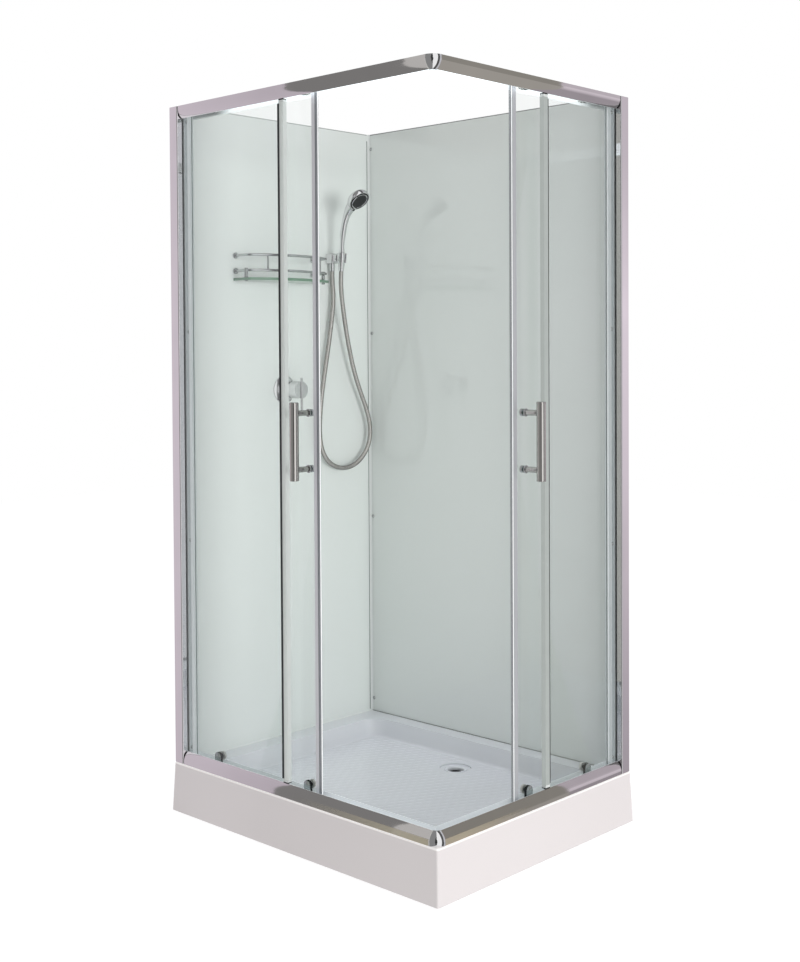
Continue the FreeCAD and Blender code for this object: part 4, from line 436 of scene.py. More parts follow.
GREEN_EDGE = (paint(66, 92, 88), paint(84, 112, 104))
SHELF_EDGE = (paint(96, 132, 110), paint(118, 154, 130))
PAINTED_EDGE = paint(160, 178, 170)
CLEAR_TINT = (0.982, 0.991, 0.988, 1.0)
SOFT_BLACK = (paint(24, 24, 25), paint(34, 34, 35))
SEAL_WHITE = (paint(236, 239, 240), paint(243, 245, 246))
# The covers' dark walls are a painted dark reflection
COVER_FACE, COVER_PAINTED_DARK_WALL = (160, 168, 167), (40, 44, 45)
FINISHES = {
    "left post aluminium": aluminium("left_post_aluminium", Z, LEFT_POST_WEB),
    "right post aluminium": aluminium("right_post_aluminium", Z, RIGHT_POST_WEB),
    # The rails' glows are painted light, and their tan bands are painted reflections of the tray
    "front rail aluminium": aluminium("front_rail_aluminium", X, FRONT_RAIL_WEB, turned=-0.47, glow=0.27,
                                      painted_reflection=(X, 0.0, 0.45, paint(186, 178, 156))),
    "front top aluminium": aluminium("front_top_aluminium", X, FRONT_RAIL_WEB, turned=0.22, glow=0.90,
                                     dim_end=(X, -0.345, -0.285)),
    # The side rails' metal is a darker copy of the front rails': painted shade
    "side rail aluminium": aluminium("side_rail_aluminium", Y, SIDE_RAIL_WEB, (200, 198, 199),
                                     turned=0.75, glow=0.24, painted_reflection=(Y, -0.02, -0.30, paint(168, 158, 138))),
    "side top aluminium": aluminium("side_top_aluminium", Y, SIDE_RAIL_WEB, (212, 210, 211),
                                    turned=-0.39, glow=0.90, dim_end=(Y, 0.295, 0.235)),
    "chrome": chrome("chrome"),
    "stainless": chrome("polished_stainless", (212, 210, 207), 0.10),
    "front glass": clear_glass("front_glass", Y, CLEAR_TINT, GREEN_EDGE),
    "side glass": clear_glass("side_glass", X, CLEAR_TINT, GREEN_EDGE),
    "shelf glass": clear_glass("shelf_glass", Z, (0.93, 0.97, 0.95, 1.0), SHELF_EDGE),
    "left wall": painted_glass("left_wall_glass", X, (paint(237, 242, 239), paint(240, 244, 241)),
                               paint(186, 190, 189), 1.6),
    "rear wall": painted_glass("rear_wall_glass", Y, (paint(234, 239, 236), paint(237, 241, 238)),
                               paint(150, 153, 153), 1.8),
    "acrylic": acrylic("white_acrylic", (paint(229, 223, 223), paint(234, 228, 228)),
                       (paint(228, 230, 234), paint(233, 235, 239))),
    "rubber": plastic("black_rubber", SOFT_BLACK, 0.55, 700.0, 0.2),
    "cap rubber": cap_rubber("cap_rubber", SOFT_BLACK, (paint(214, 218, 216), paint(224, 228, 226))),
    "dark bead": plastic("dark_bead", (paint(16, 24, 26), paint(26, 36, 38)), 0.35),
    "face black": plastic("spray_face_black", (paint(22, 22, 24), paint(30, 30, 32)), 0.16),
    "nozzle rubber": plastic("nozzle_rubber", (paint(58, 60, 63), paint(70, 72, 75)), 0.45),
    "black plastic": plastic("black_plastic", (paint(20, 21, 23), paint(28, 29, 31)), 0.30),
    "grey plastic": plastic("grey_plastic", (paint(196, 197, 198), paint(206, 207, 208)), 0.40),
    "wheel plastic": plastic("wheel_plastic", (paint(222, 221, 216), paint(232, 231, 227)), 0.30),
    # The strips' and seals' glows are painted light; the side edge strip is a grey copy of the edge strip
    # brightened by a strong painted glow
    "seal": milky("clear_seal", (paint(240, 242, 243), paint(247, 248, 249)), 0.5, 0.06),
    "edge strip": milky("edge_strip", (paint(242, 246, 244), paint(248, 250, 248)), 0.5, 0.05),
    "side edge strip": milky("side_edge_strip", (paint(120, 124, 122), paint(126, 130, 128)), 0.4, 1.5),
    "front door seal": milky("front_door_seal", SEAL_WHITE, 0.5, 0.10,
                             lead=(X, 1.0, paint(170, 173, 178), 0.12)),
    "side door seal": milky("side_door_seal", SEAL_WHITE, 0.5, 0.07,
                            lead=(Y, -1.0, paint(214, 217, 218), 0.82)),
    # White strips with a strong painted glow: painted highlights
    "white painted highlight bead": milky("white_painted_highlight_bead", (paint(244, 245, 245), paint(250, 250, 250)), 0.3, 0.34),
    "grey bead": plastic("grey_bead", (paint(84, 90, 90), paint(96, 102, 101)), 0.35),
    "soft grey bead": plastic("soft_grey_bead", (paint(126, 129, 133), paint(134, 137, 141)), 0.35),
    "screw steel": satin("screw_steel", (paint(214, 217, 216), paint(224, 227, 226)), 0.4, 0.2,
                         paint(96, 100, 100), sharpness=1.5),
    # The side door's profile is a darker copy of the front one: painted shade
    "side door profile": satin("side_door_profile", (paint(186, 188, 192), paint(194, 196, 200)), 0.30, 0.25,
                               paint(170, 170, 176)),
    "door profile": satin("door_profile", (paint(218, 219, 224), paint(230, 231, 235)), 0.30, 0.25,
                          paint(190, 190, 196)),
    "corner strip": satin("corner_strip", (paint(232, 236, 234), paint(240, 243, 241)), 0.10, 0.35,
                          paint(200, 204, 202)),
    "brushed bar": satin("brushed_bar", (paint(206, 203, 200), paint(222, 219, 216)), 1.0, 0.06,
                         paint(52, 50, 50), sharpness=1.6),
    "stand-off chrome": chrome("stand_off_chrome", (222, 224, 226), 0.03, 1.4, (40, 42, 44)),
    "front cover chrome": faced_chrome("front_cover_chrome", Y, COVER_FACE, COVER_PAINTED_DARK_WALL),
    "side cover chrome": faced_chrome("side_cover_chrome", X, COVER_FACE, COVER_PAINTED_DARK_WALL),
    "shelf chrome": chrome("shelf_chrome", (196, 199, 199), 0.05),
    "galvanised": zinc("galvanised_steel", (paint(150, 153, 156), paint(190, 192, 195))),
    "mill aluminium": zinc("mill_aluminium", (paint(190, 191, 193), paint(206, 207, 208))),
    "hose metal": hose_metal("hose_metal"),
}
SLOT_FINISHES = {
    "acrylic": "acrylic", "galvanised_steel": "galvanised", "black_plastic": "black plastic",
    "grey_plastic": "grey plastic", "stainless": "stainless", "mill_aluminium": "mill aluminium",
    "black_rubber": "cap rubber", "clear_seal": "seal", "chrome": "chrome", "wheel_plastic": "wheel plastic",
}
OWN_FINISHES = {
    "left_wall_post": "left post aluminium", "right_wall_post": "right post aluminium",
    "front_bottom_rail": "front rail aluminium", "front_top_rail": "front top aluminium",
    "side_bottom_rail": "side rail aluminium", "side_top_rail": "side top aluminium",
    "left_wall_panel": "left wall", "rear_wall_panel": "rear wall",
    "front_fixed_glass": "front glass", "front_door_glass": "front glass",
    "side_fixed_glass": "side glass", "side_door_glass": "side glass", "shelf_glass": "shelf glass",
    "front_fixed_edge": "edge strip", "side_fixed_edge": "side edge strip",
    "back_corner_trim": "corner strip",
    "front_door_lead_profile": "door profile", "side_door_lead_profile": "side door profile",
    "front_door_seals": "front door seal", "side_door_seals": "side door seal",
    "front_door_handle": "brushed bar", "side_door_handle": "brushed bar", "shelf_rails": "shelf chrome",
}
node_slots = {part["node"]: part["material_slot"] for part in frame["record"]["subparts"]}


def coat(piece, finish_name):
    """Gives a piece one finish all over."""
    if not piece.data.materials:
        piece.data.materials.append(None)
    for slot in piece.material_slots:
        slot.material = FINISHES[finish_name]


for node, piece in nodes.items():
    coat(piece, OWN_FINISHES.get(node) or SLOT_FINISHES[node_slots[node]])


# Workshop steps
def only(piece):
    """Makes one piece the selected one."""
    bpy.ops.object.select_all(action="DESELECT")
    piece.select_set(True)
    bpy.context.view_layer.objects.active = piece
    return piece


def settle(piece):
    """Puts a piece's place and turn into its mesh."""
    only(piece)
    bpy.ops.object.transform_apply(location=True, rotation=True, scale=True)
    return piece


def smooth(piece, angle=35.0):
    """Shades a piece smooth, but keeps edges sharp past an angle in degrees."""
    only(piece)
    bpy.ops.object.shade_smooth_by_angle(angle=math.radians(angle))
    return piece


def fit(piece, node, finish_name, stands_for=()):
    """Sets a finished piece on a node's body, in its finish, in place of CAD nodes."""
    coat(piece, finish_name)
    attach(piece, body_of_node[node])
    if stands_for:
        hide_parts(*stands_for)
    return piece


def apply_modifiers(piece):
    only(piece)
    for modifier in list(piece.modifiers):
        bpy.ops.object.modifier_apply(modifier=modifier.name)
    return piece


def softened(node, width, finish_name):
    """A copy of a CAD node with its edges broken by a small round."""
    piece = bpy.data.objects.new(node + "_finished", nodes[node].data.copy())
    scene.collection.objects.link(piece)
    only(piece)
    bpy.ops.object.mode_set(mode="EDIT")
    bpy.ops.mesh.select_all(action="SELECT")
    bpy.ops.mesh.remove_doubles(threshold=0.00001)
    bpy.ops.mesh.dissolve_limited(angle_limit=math.radians(1.0))
    bpy.ops.object.mode_set(mode="OBJECT")
    bevel = piece.modifiers.new("broken edges", "BEVEL")
    bevel.width, bevel.segments, bevel.limit_method = width, 2, "ANGLE"
    bevel.angle_limit, bevel.use_clamp_overlap = math.radians(40.0), True
    bevel.harden_normals = False
    apply_modifiers(piece)
    smooth(piece)
    return fit(piece, node, finish_name, [node])


def block(name, size, middle=(0.0, 0.0, 0.0), turn=0.0):
    """A block of a size, turned about its upright axis."""
    bpy.ops.mesh.primitive_cube_add(size=1.0, location=middle, rotation=(0.0, 0.0, turn))
    piece = bpy.context.active_object
    piece.name = piece.data.name = name
    piece.scale = size
    return settle(piece)


def rounded(piece, width, segments):
    """Rounds all the edges of a block."""
    rounding = piece.modifiers.new("rounding", "BEVEL")
    rounding.width, rounding.segments = width, segments
    return apply_modifiers(piece)


def lathe(name, outline, steps, middle=(0.0, 0.0, 0.0), pointing=(0.0, 0.0, 1.0)):
    """Spins an outline of (radius, height) points about its axis, then points the axis and sets its foot."""
    bpy.ops.mesh.primitive_plane_add(size=0.001, location=(0.0, 0.0, 0.0))
    piece = bpy.context.active_object
    piece.name = piece.data.name = name
    bpy.ops.object.mode_set(mode="EDIT")
    bpy.ops.mesh.select_all(action="SELECT")
    bpy.ops.mesh.merge(type="CENTER")
    bpy.ops.transform.translate(value=(outline[0][0], 0.0, outline[0][1]))
    for (r0, h0), (r1, h1) in zip(outline, outline[1:]):
        bpy.ops.mesh.extrude_vertices_move(TRANSFORM_OT_translate={"value": (r1 - r0, 0.0, h1 - h0)})
    bpy.ops.mesh.select_all(action="SELECT")
    bpy.ops.mesh.spin(steps=steps, angle=2 * math.pi, center=(0.0, 0.0, 0.0), axis=(0.0, 0.0, 1.0))
    bpy.ops.mesh.select_all(action="SELECT")
    bpy.ops.mesh.remove_doubles(threshold=0.000005)
    bpy.ops.mesh.normals_make_consistent(inside=False)
    bpy.ops.object.mode_set(mode="OBJECT")
    piece.rotation_euler = Vector(pointing).to_track_quat("Z", "Y").to_euler()
    piece.location = middle
    return smooth(settle(piece))


# Shower hose: one smooth line through the route's points, then a tube of pressed turns about it. The points
# of its loop lie forward, across and down from the start, in shares of the drop.
HOSE_START = Vector((-0.460, 0.195, 1.5607))
HOSE_DROP = 0.640
HOSE_SHARES = [(0.007, 0.002, 0.128), (0.007, -0.009, 0.218), (0.007, -0.025, 0.311), (0.007, -0.044, 0.408),
               (0.007, -0.064, 0.505), (0.007, -0.082, 0.602), (0.007, -0.095, 0.699), (0.007, -0.099, 0.789),
               (0.008, -0.086, 0.870), (0.010, -0.044, 0.932), (0.011, 0.027, 0.964), (0.013, 0.100, 0.965),
               (0.014, 0.170, 0.935), (0.016, 0.227, 0.871), (0.018, 0.244, 0.785), (0.020, 0.219, 0.692),
               (0.022, 0.169, 0.596), (0.025, 0.125, 0.500), (0.028, 0.092, 0.403), (0.033, 0.063, 0.304),
               (0.040, 0.037, 0.204), (0.048, 0.015, 0.110)]
HANDSET_FOOT = Vector((-0.418, 0.195, 1.5855))
HANDSET_LEAN = math.radians(4.0)
HANDSET_UP = Vector((math.sin(HANDSET_LEAN), 0.0, math.cos(HANDSET_LEAN)))
HOSE_RADIUS, HOSE_SIDES = 0.0070, 14
TURN_PITCH = 0.0036
TURN_SHAPE = [(0.94, 1.0), (0.985, 0.15), (1.0, 0.0), (0.985, 0.15)]  # share of the radius, depth of groove
LIFT_FROM, LIFT_OVER = 0.55, 0.42  # shares of the hose's length over which a smooth lift share rises from nought to one
STRAIGHT_END, NUT_REACH = 0.030, 0.0263  # straight out of both nuts, the upper one this far below the foot
route = [HOSE_START, HOSE_START - Vector((0.0, 0.0, STRAIGHT_END))]
route += [HOSE_START + Vector((forward, across, -down)) * HOSE_DROP for forward, across, down in HOSE_SHARES]
route += [HANDSET_FOOT - HANDSET_UP * (NUT_REACH + STRAIGHT_END), HANDSET_FOOT - HANDSET_UP * NUT_REACH]


def smooth_line(points):
    """Reads the points of a smooth curve that the route's points steer."""
    curve = bpy.data.curves.new("route", "CURVE")
    curve.dimensions = "3D"
    curve.resolution_u = 24
    spline = curve.splines.new("NURBS")
    spline.points.add(len(points) - 1)
    for held, point in zip(spline.points, points):
        held.co = (*point, 1.0)
    spline.order_u = 3
    spline.use_endpoint_u = True
    holder = bpy.data.objects.new("route", curve)
    scene.collection.objects.link(holder)
    bpy.context.view_layer.update()
    read = bpy.data.meshes.new_from_object(holder)
    line = [vertex.co.copy() for vertex in read.vertices]
    bpy.data.objects.remove(holder)
    bpy.data.curves.remove(curve)
    bpy.data.meshes.remove(read)
    return line


def even_steps(line, step):
    """The same line in equal steps, with the way it runs at each."""
    ends = [0.0]
    for a, b in zip(line, line[1:]):
        ends.append(ends[-1] + (b - a).length)
    count = round(ends[-1] / step)
    stations, held = [], 0
    for index in range(count + 1):
        wanted = ends[-1] * index / count
        while held < len(ends) - 2 and ends[held + 1] < wanted:
            held += 1
        share = (wanted - ends[held]) / max(ends[held + 1] - ends[held], 1e-9)
        stations.append(line[held].lerp(line[held + 1], share))
    ways = [(stations[min(i + 1, count)] - stations[max(i - 1, 0)]).normalized() for i in range(count + 1)]
    return stations, ways, ends[-1]


def ribbed_hose(line):
    """A tube of pressed turns: each turn is a rounded crown and a narrow groove."""
    stations, ways, length = even_steps(line, TURN_PITCH / len(TURN_SHAPE))
    across = ways[0].orthogonal().normalized()
    points, grooves, faces = [], [], []
    for index, (station, way) in enumerate(zip(stations, ways)):
        across = (across - way * across.dot(way)).normalized()
        other = way.cross(across)
        share, groove = TURN_SHAPE[index % len(TURN_SHAPE)]
        for side in range(HOSE_SIDES):
            angle = 2 * math.pi * side / HOSE_SIDES
            spoke = across * math.cos(angle) + other * math.sin(angle)
            points.append(station + spoke * HOSE_RADIUS * share)
            grooves.append(groove)
    for ring in range(len(stations) - 1):
        for side in range(HOSE_SIDES):
            here, there = ring * HOSE_SIDES + side, ring * HOSE_SIDES + (side + 1) % HOSE_SIDES
            faces.append((here, there, there + HOSE_SIDES, here + HOSE_SIDES))
    faces.append(tuple(reversed(range(HOSE_SIDES))))
    faces.append(tuple(range(len(points) - HOSE_SIDES, len(points))))
    mesh = bpy.data.meshes.new("ribbed_hose")
    mesh.from_pydata(points, [], faces)
    mesh.attributes.new("groove", "FLOAT", "POINT").data.foreach_set("value", grooves)
    piece = bpy.data.objects.new("ribbed_hose", mesh)
    scene.collection.objects.link(piece)
    only(piece)
    bpy.ops.object.shade_smooth()
    return piece, length, len(stations)


hose_line = smooth_line(route)
hose, hose_length, hose_rings = ribbed_hose(hose_line)
coat(hose, "hose metal")
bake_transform(hose)
lift = []
for ring in range(hose_rings):
    run = min(max((ring / (hose_rings - 1) - LIFT_FROM) / LIFT_OVER, 0.0), 1.0)
    lift += [run * run * (3.0 - 2.0 * run)] * HOSE_SIDES
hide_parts("shower_hose")

# Rounded edges on the turned and cut metal
for node, width, own in (("front_wheel_mounts", 0.0012, "front cover chrome"),
                         ("side_wheel_mounts", 0.0012, "side cover chrome"),
                         ("front_door_handle", 0.0006, "brushed bar"),
                         ("side_door_handle", 0.0006, "brushed bar"),
                         ("front_handle_fixings", 0.0006, "stand-off chrome"),
                         ("side_handle_fixings", 0.0006, "stand-off chrome"),
                         ("bottom_corner_joint", 0.0008, "chrome"), ("top_corner_joint", 0.0008, "chrome"),
                         ("outlet_block", 0.0008, "chrome"), ("handset_holder", 0.0008, "chrome"),
                         ("shelf_fixings", 0.0006, "shelf chrome"), ("mixer_escutcheon", 0.0006, "chrome"),
                         ("mixer_head", 0.0004, "chrome"), ("mixer_lever", 0.0006, "chrome")):
    softened(node, width, own)


def copies(name, model, places):
    """Copies a finished piece to each place and turn, and joins the copies in one piece."""
    made = []
    for place, turn in places:
        copy = bpy.data.objects.new(name, model.data.copy())
        copy.location, copy.rotation_euler = place, turn
        scene.collection.objects.link(copy)
        made.append(copy)
    bpy.data.objects.remove(model)
    bpy.ops.object.select_all(action="DESELECT")
    for copy in made:
        copy.select_set(True)
    bpy.context.view_layer.objects.active = made[0]
    bpy.ops.object.join()
    made[0].name = made[0].data.name = name
    return settle(made[0])


# Twelve panel screws, up the left post, the right post and the back corner: a cupped washer and a domed
# head with a cross recess
screw = lathe("screw", [(0.0055, 0.0), (0.0055, 0.0007), (0.0050, 0.0012), (0.0041, 0.0009),
                        (0.0039, 0.0005), (0.0036, 0.0005), (0.0035, 0.0011), (0.0029, 0.0020),
                        (0.0018, 0.0026), (0.0, 0.0028)], 24)
for turn in (0.0, math.pi / 2):
    cutter = block("cutter", (0.0011, 0.0042, 0.0030), (0.0, 0.0, 0.0026), turn)
    recess = screw.modifiers.new("recess", "BOOLEAN")
    recess.object, recess.operation, recess.solver = cutter, "DIFFERENCE", "EXACT"
    apply_modifiers(screw)
    bpy.data.objects.remove(cutter)
smooth(screw, 40.0)
SCREW_LEVELS = (0.186, 0.777, 1.368, 1.959)
LEFT_POST_ROW, RIGHT_POST_ROW, CORNER_ROW = (-0.4639, -0.367), (0.467, 0.3639), (-0.464, 0.3749)
screw_places = []
for step, level in enumerate(SCREW_LEVELS):
    screw_places += [((*LEFT_POST_ROW, level), (0.4 * step, math.pi / 2, 0.0)),
                     ((*RIGHT_POST_ROW, level), (math.pi / 2, 0.5 * step, 0.0)),
                     ((*CORNER_ROW, level), (math.pi / 2, 0.3 + 0.4 * step, 0.0))]
screws = copies("panel_screws_finished", screw, screw_places)
fit(smooth(screws, 40.0), "panel_screws", "screw steel", ["panel_screws"])

# Fine beads, each by two far corners: where the fixed panes enter their edge strips, beside the doors'
# profiles and seals, up the back corner's strip and along the rear panel's foot
# The white beads beside the doors' seals and lead are white strips with a painted glow: painted highlights
BEADS = (
    ("front_edge_bead", "front_fixed_edge", "dark bead",
     (-0.0577, -0.3871, 0.189), (-0.0502, -0.3826, 1.956)),
    ("side_edge_bead", "side_fixed_edge", "dark bead", (0.4827, 0.0531, 0.190), (0.4856, 0.0576, 1.955)),
    ("front_lead_bead", "front_door_lead_profile", "soft grey bead",
     (0.0628, -0.3668, 0.160), (0.0646, -0.3650, 1.988)),
    ("front_seal_bead", "front_door_seals", "white painted highlight bead", (0.0726, -0.3667, 0.160), (0.0750, -0.3652, 1.988)),
    ("side_seal_bead", "side_door_seals", "soft grey bead",
     (0.4652, -0.0738, 0.160), (0.4662, -0.0724, 1.988)),
    ("side_lead_bead", "side_door_lead_profile", "white painted highlight bead",
     (0.4652, -0.0706, 0.160), (0.4664, -0.0684, 1.988)),
    ("back_trim_bead", "back_corner_trim", "grey bead", (-0.4750, 0.3662, 0.150), (-0.4739, 0.3682, 1.985)),
    ("rear_panel_bead", "rear_wall_panel", "grey bead", (-0.4700, 0.3732, 0.1452), (0.4400, 0.3748, 0.1464)))
for name, node, own, low, high in BEADS:
    bead = block(name, Vector(high) - Vector(low), (Vector(low) + Vector(high)) / 2)
    fit(smooth(rounded(bead, 0.0004, 2)), node, own)

# Anti-slip marks, staggered over the basin's floor and clear of the drain
FLOOR_LEVEL, DRAIN = 0.092, Vector((0.015, 0.224, 0.0))
MARK_ROWS, FIRST_ROW, ROW_STEP = 27, -0.298, 0.0225
MARK_COLUMNS, FIRST_COLUMN, COLUMN_STEP, LAST_X = 29, -0.383, 0.0275, 0.405
CLEAR_OF_DRAIN = 0.066
MARK_WIDTH_SHARE, MARK_TURN = 0.36, math.radians(45.0)
mark = lathe("mark", [(0.0105, -0.0002), (0.0085, 0.0004), (0.0045, 0.0006), (0.0, 0.0007)], 10)
mark.scale = (1.0, MARK_WIDTH_SHARE, 1.0)
settle(mark)
mark_places = []
for row in range(MARK_ROWS):
    y = FIRST_ROW + row * ROW_STEP
    for column in range(MARK_COLUMNS):
        x = FIRST_COLUMN + column * COLUMN_STEP + (COLUMN_STEP / 2 if row % 2 else 0.0)
        if x < LAST_X and (Vector((x, y, 0.0)) - DRAIN).length > CLEAR_OF_DRAIN:
            mark_places.append(((x, y, FLOOR_LEVEL), (0.0, 0.0, MARK_TURN)))
marks = copies("anti_slip_marks", mark, mark_places)
fit(smooth(marks, 60.0), "tray_shell", "acrylic")

# Drain: a white ring in the recess that narrows to the waste's mouth, closed by a black disc that paints the
# shade down the waste
ring = lathe("drain_ring", [(0.0262, 0.0725), (0.0262, 0.0868), (0.0330, 0.0870), (0.0328, 0.0884),
                            (0.0300, 0.0890), (0.0262, 0.0884), (0.0238, 0.0868), (0.0228, 0.0848),
                            (0.0226, 0.0775), (0.0240, 0.0740)], 64, DRAIN)
coat(ring, "acrylic")
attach(ring, "enclosure")
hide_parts("waste_flange")
drain_shade_disc = lathe("drain_painted_shade_disc", [(0.0226, 0.0742), (0.0226, 0.0784), (0.0210, 0.0780), (0.0200, 0.0752),
                                (0.0, 0.0750), (0.0, 0.0742)], 48, DRAIN)
coat(drain_shade_disc, "rubber")
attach(drain_shade_disc, "enclosure")

# Handshower: a bulged chrome handle that runs into a round head
FACE_MIDDLE = HANDSET_FOOT + Vector((0.0813, 0.0, 0.183))
FACE_LEAN = math.radians(46.0)
FACE_WAY = Vector((math.cos(FACE_LEAN), 0.0, -math.sin(FACE_LEAN)))
FACE_UP = Vector((math.sin(FACE_LEAN), 0.0, math.cos(FACE_LEAN)))
FACE_ACROSS = Vector((0.0, 1.0, 0.0))


def through(stations, steps):
    """Even smooth steps through stations of several numbers."""
    made = []
    for index in range(len(stations) - 1):
        before, start = stations[max(index - 1, 0)], stations[index]
        end, after = stations[index + 1], stations[min(index + 2, len(stations) - 1)]
        for step in range(steps):
            t = step / steps
            made.append([0.5 * (2 * b + (c - a) * t + (2 * a - 5 * b + 4 * c - d) * t * t
                                + (3 * b - a - 3 * c + d) * t ** 3)
                         for a, b, c, d in zip(before, start, end, after)])
    return made + [list(stations[-1])]


def drawn_out(name, rings):
    """A round bar drawn out ring by ring: forward and up from the handset's foot, radius, lean in degrees."""
    forward, up, radius, lean = rings[0]
    place = HANDSET_FOOT + Vector((forward, 0.0, up))
    bpy.ops.mesh.primitive_circle_add(vertices=32, radius=radius, fill_type="NGON", location=place,
                                      rotation=(0.0, math.radians(lean), 0.0))
    piece = settle(bpy.context.active_object)
    piece.name = piece.data.name = name
    bpy.ops.object.mode_set(mode="EDIT")
    bpy.ops.mesh.select_all(action="SELECT")
    for (f0, u0, r0, l0), (f1, u1, r1, l1) in zip(rings, rings[1:]):
        bpy.ops.mesh.extrude_region_move(TRANSFORM_OT_translate={"value": (f1 - f0, 0.0, u1 - u0)})
        middle = HANDSET_FOOT + Vector((f1, 0.0, u1))
        bpy.ops.transform.resize(value=(r1 / r0,) * 3, center_override=middle)
        if abs(l1 - l0) > 0.01:
            bpy.ops.transform.rotate(value=-math.radians(l1 - l0), orient_axis="Y", center_override=middle)
    bpy.ops.mesh.select_all(action="SELECT")
    bpy.ops.mesh.normals_make_consistent(inside=False)
    bpy.ops.object.mode_set(mode="OBJECT")
    return piece


HANDLE = [(0.0000, 0.000, 0.0102, 4.0), (0.0020, 0.029, 0.0120, 4.0), (0.00215, 0.0300, 0.0114, 4.0),
          (0.0023, 0.0315, 0.0078, 4.0), (0.0029, 0.040, 0.0073, 4.0), (0.0030, 0.0495, 0.0066, 4.0),
          (0.0046, 0.0684, 0.0071, 5.0), (0.0070, 0.0871, 0.0091, 8.0), (0.0134, 0.1146, 0.0092, 15.0),
          (0.0234, 0.1415, 0.0105, 25.0), (0.0375, 0.1632, 0.0142, 40.0), (0.0549, 0.1784, 0.0180, 55.0)]
handle = drawn_out("handset_body", HANDLE[:3] + through(HANDLE[3:], 4))
HEAD_OUTLINE = [(0.0, 0.0270), (0.0100, 0.0264), (0.0220, 0.0243), (0.0275, 0.0222), (0.0315, 0.0194),
                (0.0342, 0.0155), (0.0355, 0.0105), (0.0355, 0.0060), (0.0350, 0.0030), (0.0342, 0.0008),
                (0.0332, 0.0), (0.0322, 0.0003), (0.0318, 0.0010), (0.0317, 0.0038), (0.0, 0.0038)]
head = lathe("handset_head", [(radius, -depth) for radius, depth in HEAD_OUTLINE], 64, FACE_MIDDLE, FACE_WAY)
only(handle)
head.select_set(True)
bpy.ops.object.join()
handle = smooth(handle, 45.0)
fit(handle, "handset_shell", "chrome", ["handset_shell"])

# Spray face: a dark disc with rings of nozzles, a bright ring, and a black surround with the selector's tab
face = lathe("spray_face", [(0.0, -0.0006), (0.0238, -0.0008), (0.0243, -0.0002), (0.0246, 0.0008),
                            (0.0272, 0.0008), (0.0275, -0.0006), (0.0290, -0.0012), (0.0306, -0.0008),
                            (0.0312, 0.0004), (0.0314, 0.0037), (0.0, 0.0037)], 64, FACE_MIDDLE, -FACE_WAY)
tab = rounded(block("tab", (0.0070, 0.0080, 0.0034)), 0.0014, 3)
TAB_BELOW, TAB_BACK = 0.0350, 0.0005
tab_middle = FACE_MIDDLE - FACE_UP * TAB_BELOW - FACE_WAY * TAB_BACK
tab.matrix_world = (Matrix.Translation(tab_middle)
                    @ Matrix((FACE_ACROSS, FACE_UP, -FACE_WAY)).transposed().to_4x4())
settle(tab)
only(face)
tab.select_set(True)
bpy.ops.object.join()
fit(smooth(face, 40.0), "spray_plate", "face black", ["spray_plate"])

bright = lathe("spray_bright_ring", [(0.0246, 0.0009), (0.0248, -0.0004), (0.0258, -0.0010),
                                     (0.0270, -0.0004), (0.0272, 0.0009)], 64, FACE_MIDDLE, -FACE_WAY)
fit(bright, "spray_ring", "chrome", ["spray_ring"])

nozzle = lathe("nozzle", [(0.00115, 0.0004), (0.00105, -0.0006), (0.0007, -0.0011), (0.0, -0.0012)], 8)
NOZZLE_RINGS = ((1, 0.0), (6, 0.0055), (12, 0.0110), (18, 0.0165), (24, 0.0213))  # how many, how far out
NOZZLE_FOOT = 0.0006
look = (-FACE_WAY).to_track_quat("Z", "Y")
nozzle_places = []
for count, radius in NOZZLE_RINGS:
    for index in range(count):
        angle = 2 * math.pi * index / count
        spot = FACE_ACROSS * math.cos(angle) + FACE_UP * math.sin(angle)
        nozzle_places.append((FACE_MIDDLE + spot * radius + FACE_WAY * NOZZLE_FOOT, look.to_euler()))
nozzles = copies("spray_nozzles", nozzle, nozzle_places)
fit(smooth(nozzles, 60.0), "spray_plate", "nozzle rubber")

# Studio: strips of light and dark that bright metal mirrors, one family for what faces the front and
# one for what faces the side. A turn is measured along the rails, a climb round them.
world = bpy.data.worlds.new("studio")
world.use_nodes = True
scene.world = world
light = Recipe(world.node_tree)
to_x, to_y, to_z = light.parts(light.node("TexCoord")[0])
TO_DEGREES = 180.0 / math.pi


def grey(level, tint=(1.0, 1.0, 1.0)):
    """A grey of a level, perhaps with a tint."""
    return tuple(level * part for part in tint) + (1.0,)


def strips(value, low, high, stops, between="CONSTANT"):
    """Colours laid out along a value that runs from low to high."""
    laid = [((place - low) / (high - low), colour) for place, colour in stops]
    return light.node("ValToRGB", {"blend_between_stops": between, "stops": laid},
                      {"Fac": (value - low) / (high - low)})[0]


def bowed(climb):
    """How far the strips' edges bow with the climb, in degrees."""
    return ((climb + 5.0) / 60.0) ** 2.0 * 0.5


LILAC = (1.02, 0.93, 1.0)
TAN, DARK = (0.556, 0.55, 0.52, 1.0), (0.232, 0.230, 0.220, 1.0)
SIDE_BLUE, SIDE_TAN = (0.60, 0.60, 0.63, 1.0), (0.44, 0.42, 0.38, 1.0)
SIDE_DARK = (0.335, 0.320, 0.285, 1.0)
FRONT_LILAC_FROM = 136.5
SIDE_DARK_FROM, SIDE_LILAC_FROM, SIDE_PALE_FROM, SIDE_TAN_BELOW = 43.0, 51.5, 75.0, -8.0
front_climb = light.worked("ARCTAN2", to_z, abs(to_y)) * TO_DEGREES
front_turn = light.worked("ARCCOSINE", to_x) * TO_DEGREES + bowed(front_climb)
front = strips(front_turn, 0.0, 180.0, [
    (0.0, grey(0.05)), (62.0, grey(0.26)), (118.0, TAN), (131.0, DARK)])
front = light.mix(front_turn > FRONT_LILAC_FROM, front, strips(front_turn, 130.0, 150.0, [
    (137.0, grey(0.56, LILAC)), (143.0, grey(0.72, LILAC))], "LINEAR"))
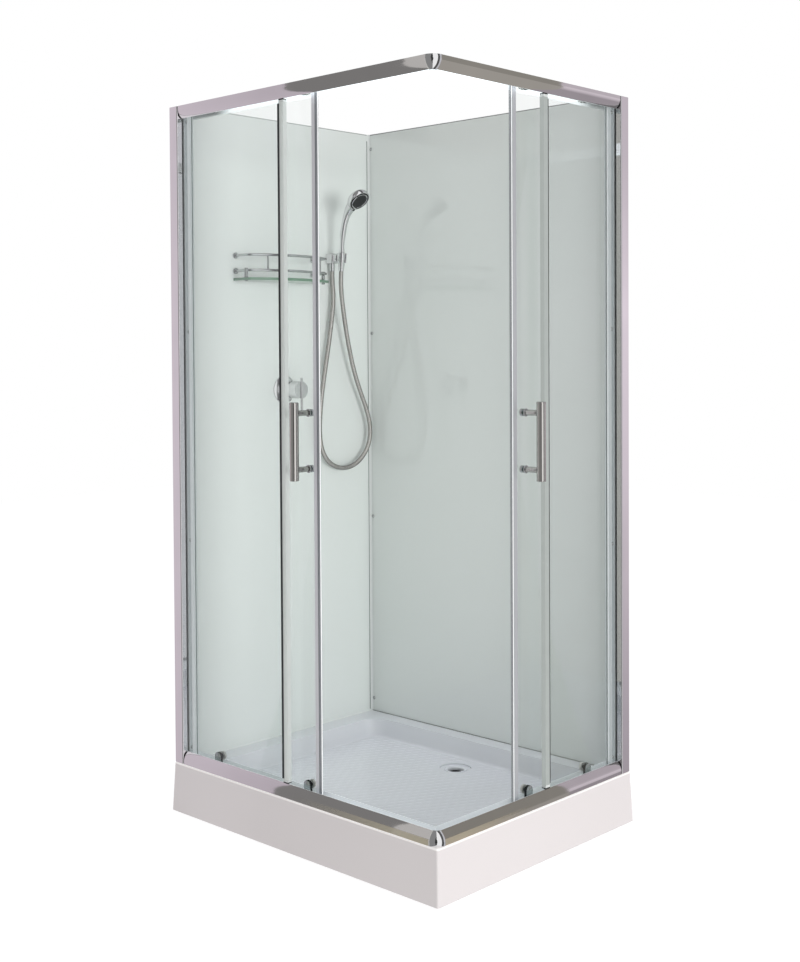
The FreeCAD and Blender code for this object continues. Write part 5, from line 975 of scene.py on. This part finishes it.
side_climb = light.worked("ARCTAN2", to_z, abs(to_x)) * TO_DEGREES
side_turn = light.worked("ARCSINE", to_y) * TO_DEGREES + bowed(side_climb)
side = strips(side_turn, -90.0, 90.0, [
    (-90.0, grey(0.05)), (-40.0, grey(1.0)), (3.0, grey(0.10)), (25.0, SIDE_BLUE),
    (SIDE_DARK_FROM, SIDE_DARK)])
side = light.mix((side_climb < SIDE_TAN_BELOW) * (side_turn > SIDE_DARK_FROM), side, SIDE_TAN)
side = light.mix(side_turn > SIDE_LILAC_FROM, side, strips(side_climb, -90.0, 90.0, [
    (-30.0, grey(0.42, LILAC)), (-18.0, grey(0.60, LILAC)), (-8.0, grey(0.76, LILAC)),
    (3.0, grey(0.87, LILAC)), (13.0, grey(0.66, LILAC)), (25.0, grey(0.60, LILAC))], "LINEAR"))
side = light.mix(side_turn > SIDE_PALE_FROM, side, grey(0.85))
walls = light.mix(to_x + to_y < 0.0, side, front)
low_corner = (to_x < -0.35) * (to_y > 0.35) * (to_z < -0.05)
walls = light.mix(low_corner, walls, grey(1.0))

# White to the camera, the strips to mirrors, and an even grey to all other light
ray = light.node("LightPath")
backdrop = light.mix(ray[0], grey(0.37), grey(1.0))
backdrop = light.mix(ray[3], backdrop, walls)
shine = light.node("Background", None, {"Color": backdrop, "Strength": 1.0})[0]
light.node("OutputWorld", None, {"Surface": shine})

for name, place, aim, width, height, watts, tint in (
        ("side_soft_box", (9.5, -1.3, 1.6), (0.0, 0.0, 0.9), 4.0, 3.0, 385.0, (1.0, 1.0, 1.0)),
        ("top_soft_box", (0.0, -0.2, 9.0), (0.0, 0.0, 0.0), 2.0, 2.0, 185.0, (0.98, 0.98, 1.07))):
    lamp = bpy.data.lights.new(name, "AREA")
    lamp.shape, lamp.size, lamp.size_y = "RECTANGLE", width, height
    lamp.energy, lamp.color = watts, tint
    holder = bpy.data.objects.new(name, lamp)
    scene.collection.objects.link(holder)
    holder.location = place
    holder.rotation_euler = (Vector(place) - Vector(aim)).to_track_quat("Z", "Y").to_euler()
    holder.visible_glossy = False

# Floor: nearly white to the camera, and a plain grey to the light that bounces off it
FLOOR_SIZE, FLOOR_GLOW = 16.0, 0.92
bpy.ops.mesh.primitive_plane_add(size=FLOOR_SIZE, location=(0.0, 0.0, 0.0))
floor = bpy.context.active_object
floor.name = "floor"
floor_finish, recipe = finish("floor")
ray = recipe.node("LightPath")
seen = recipe.larger(ray[0], recipe.larger(ray[3], ray[5]))
ground = recipe.node("BsdfDiffuse", None, {"Color": grey(0.20)})[0]
recipe.surface(recipe.glowing(ground, grey(1.0), seen * FLOOR_GLOW))
floor.data.materials.append(floor_finish)
floor.visible_glossy = False
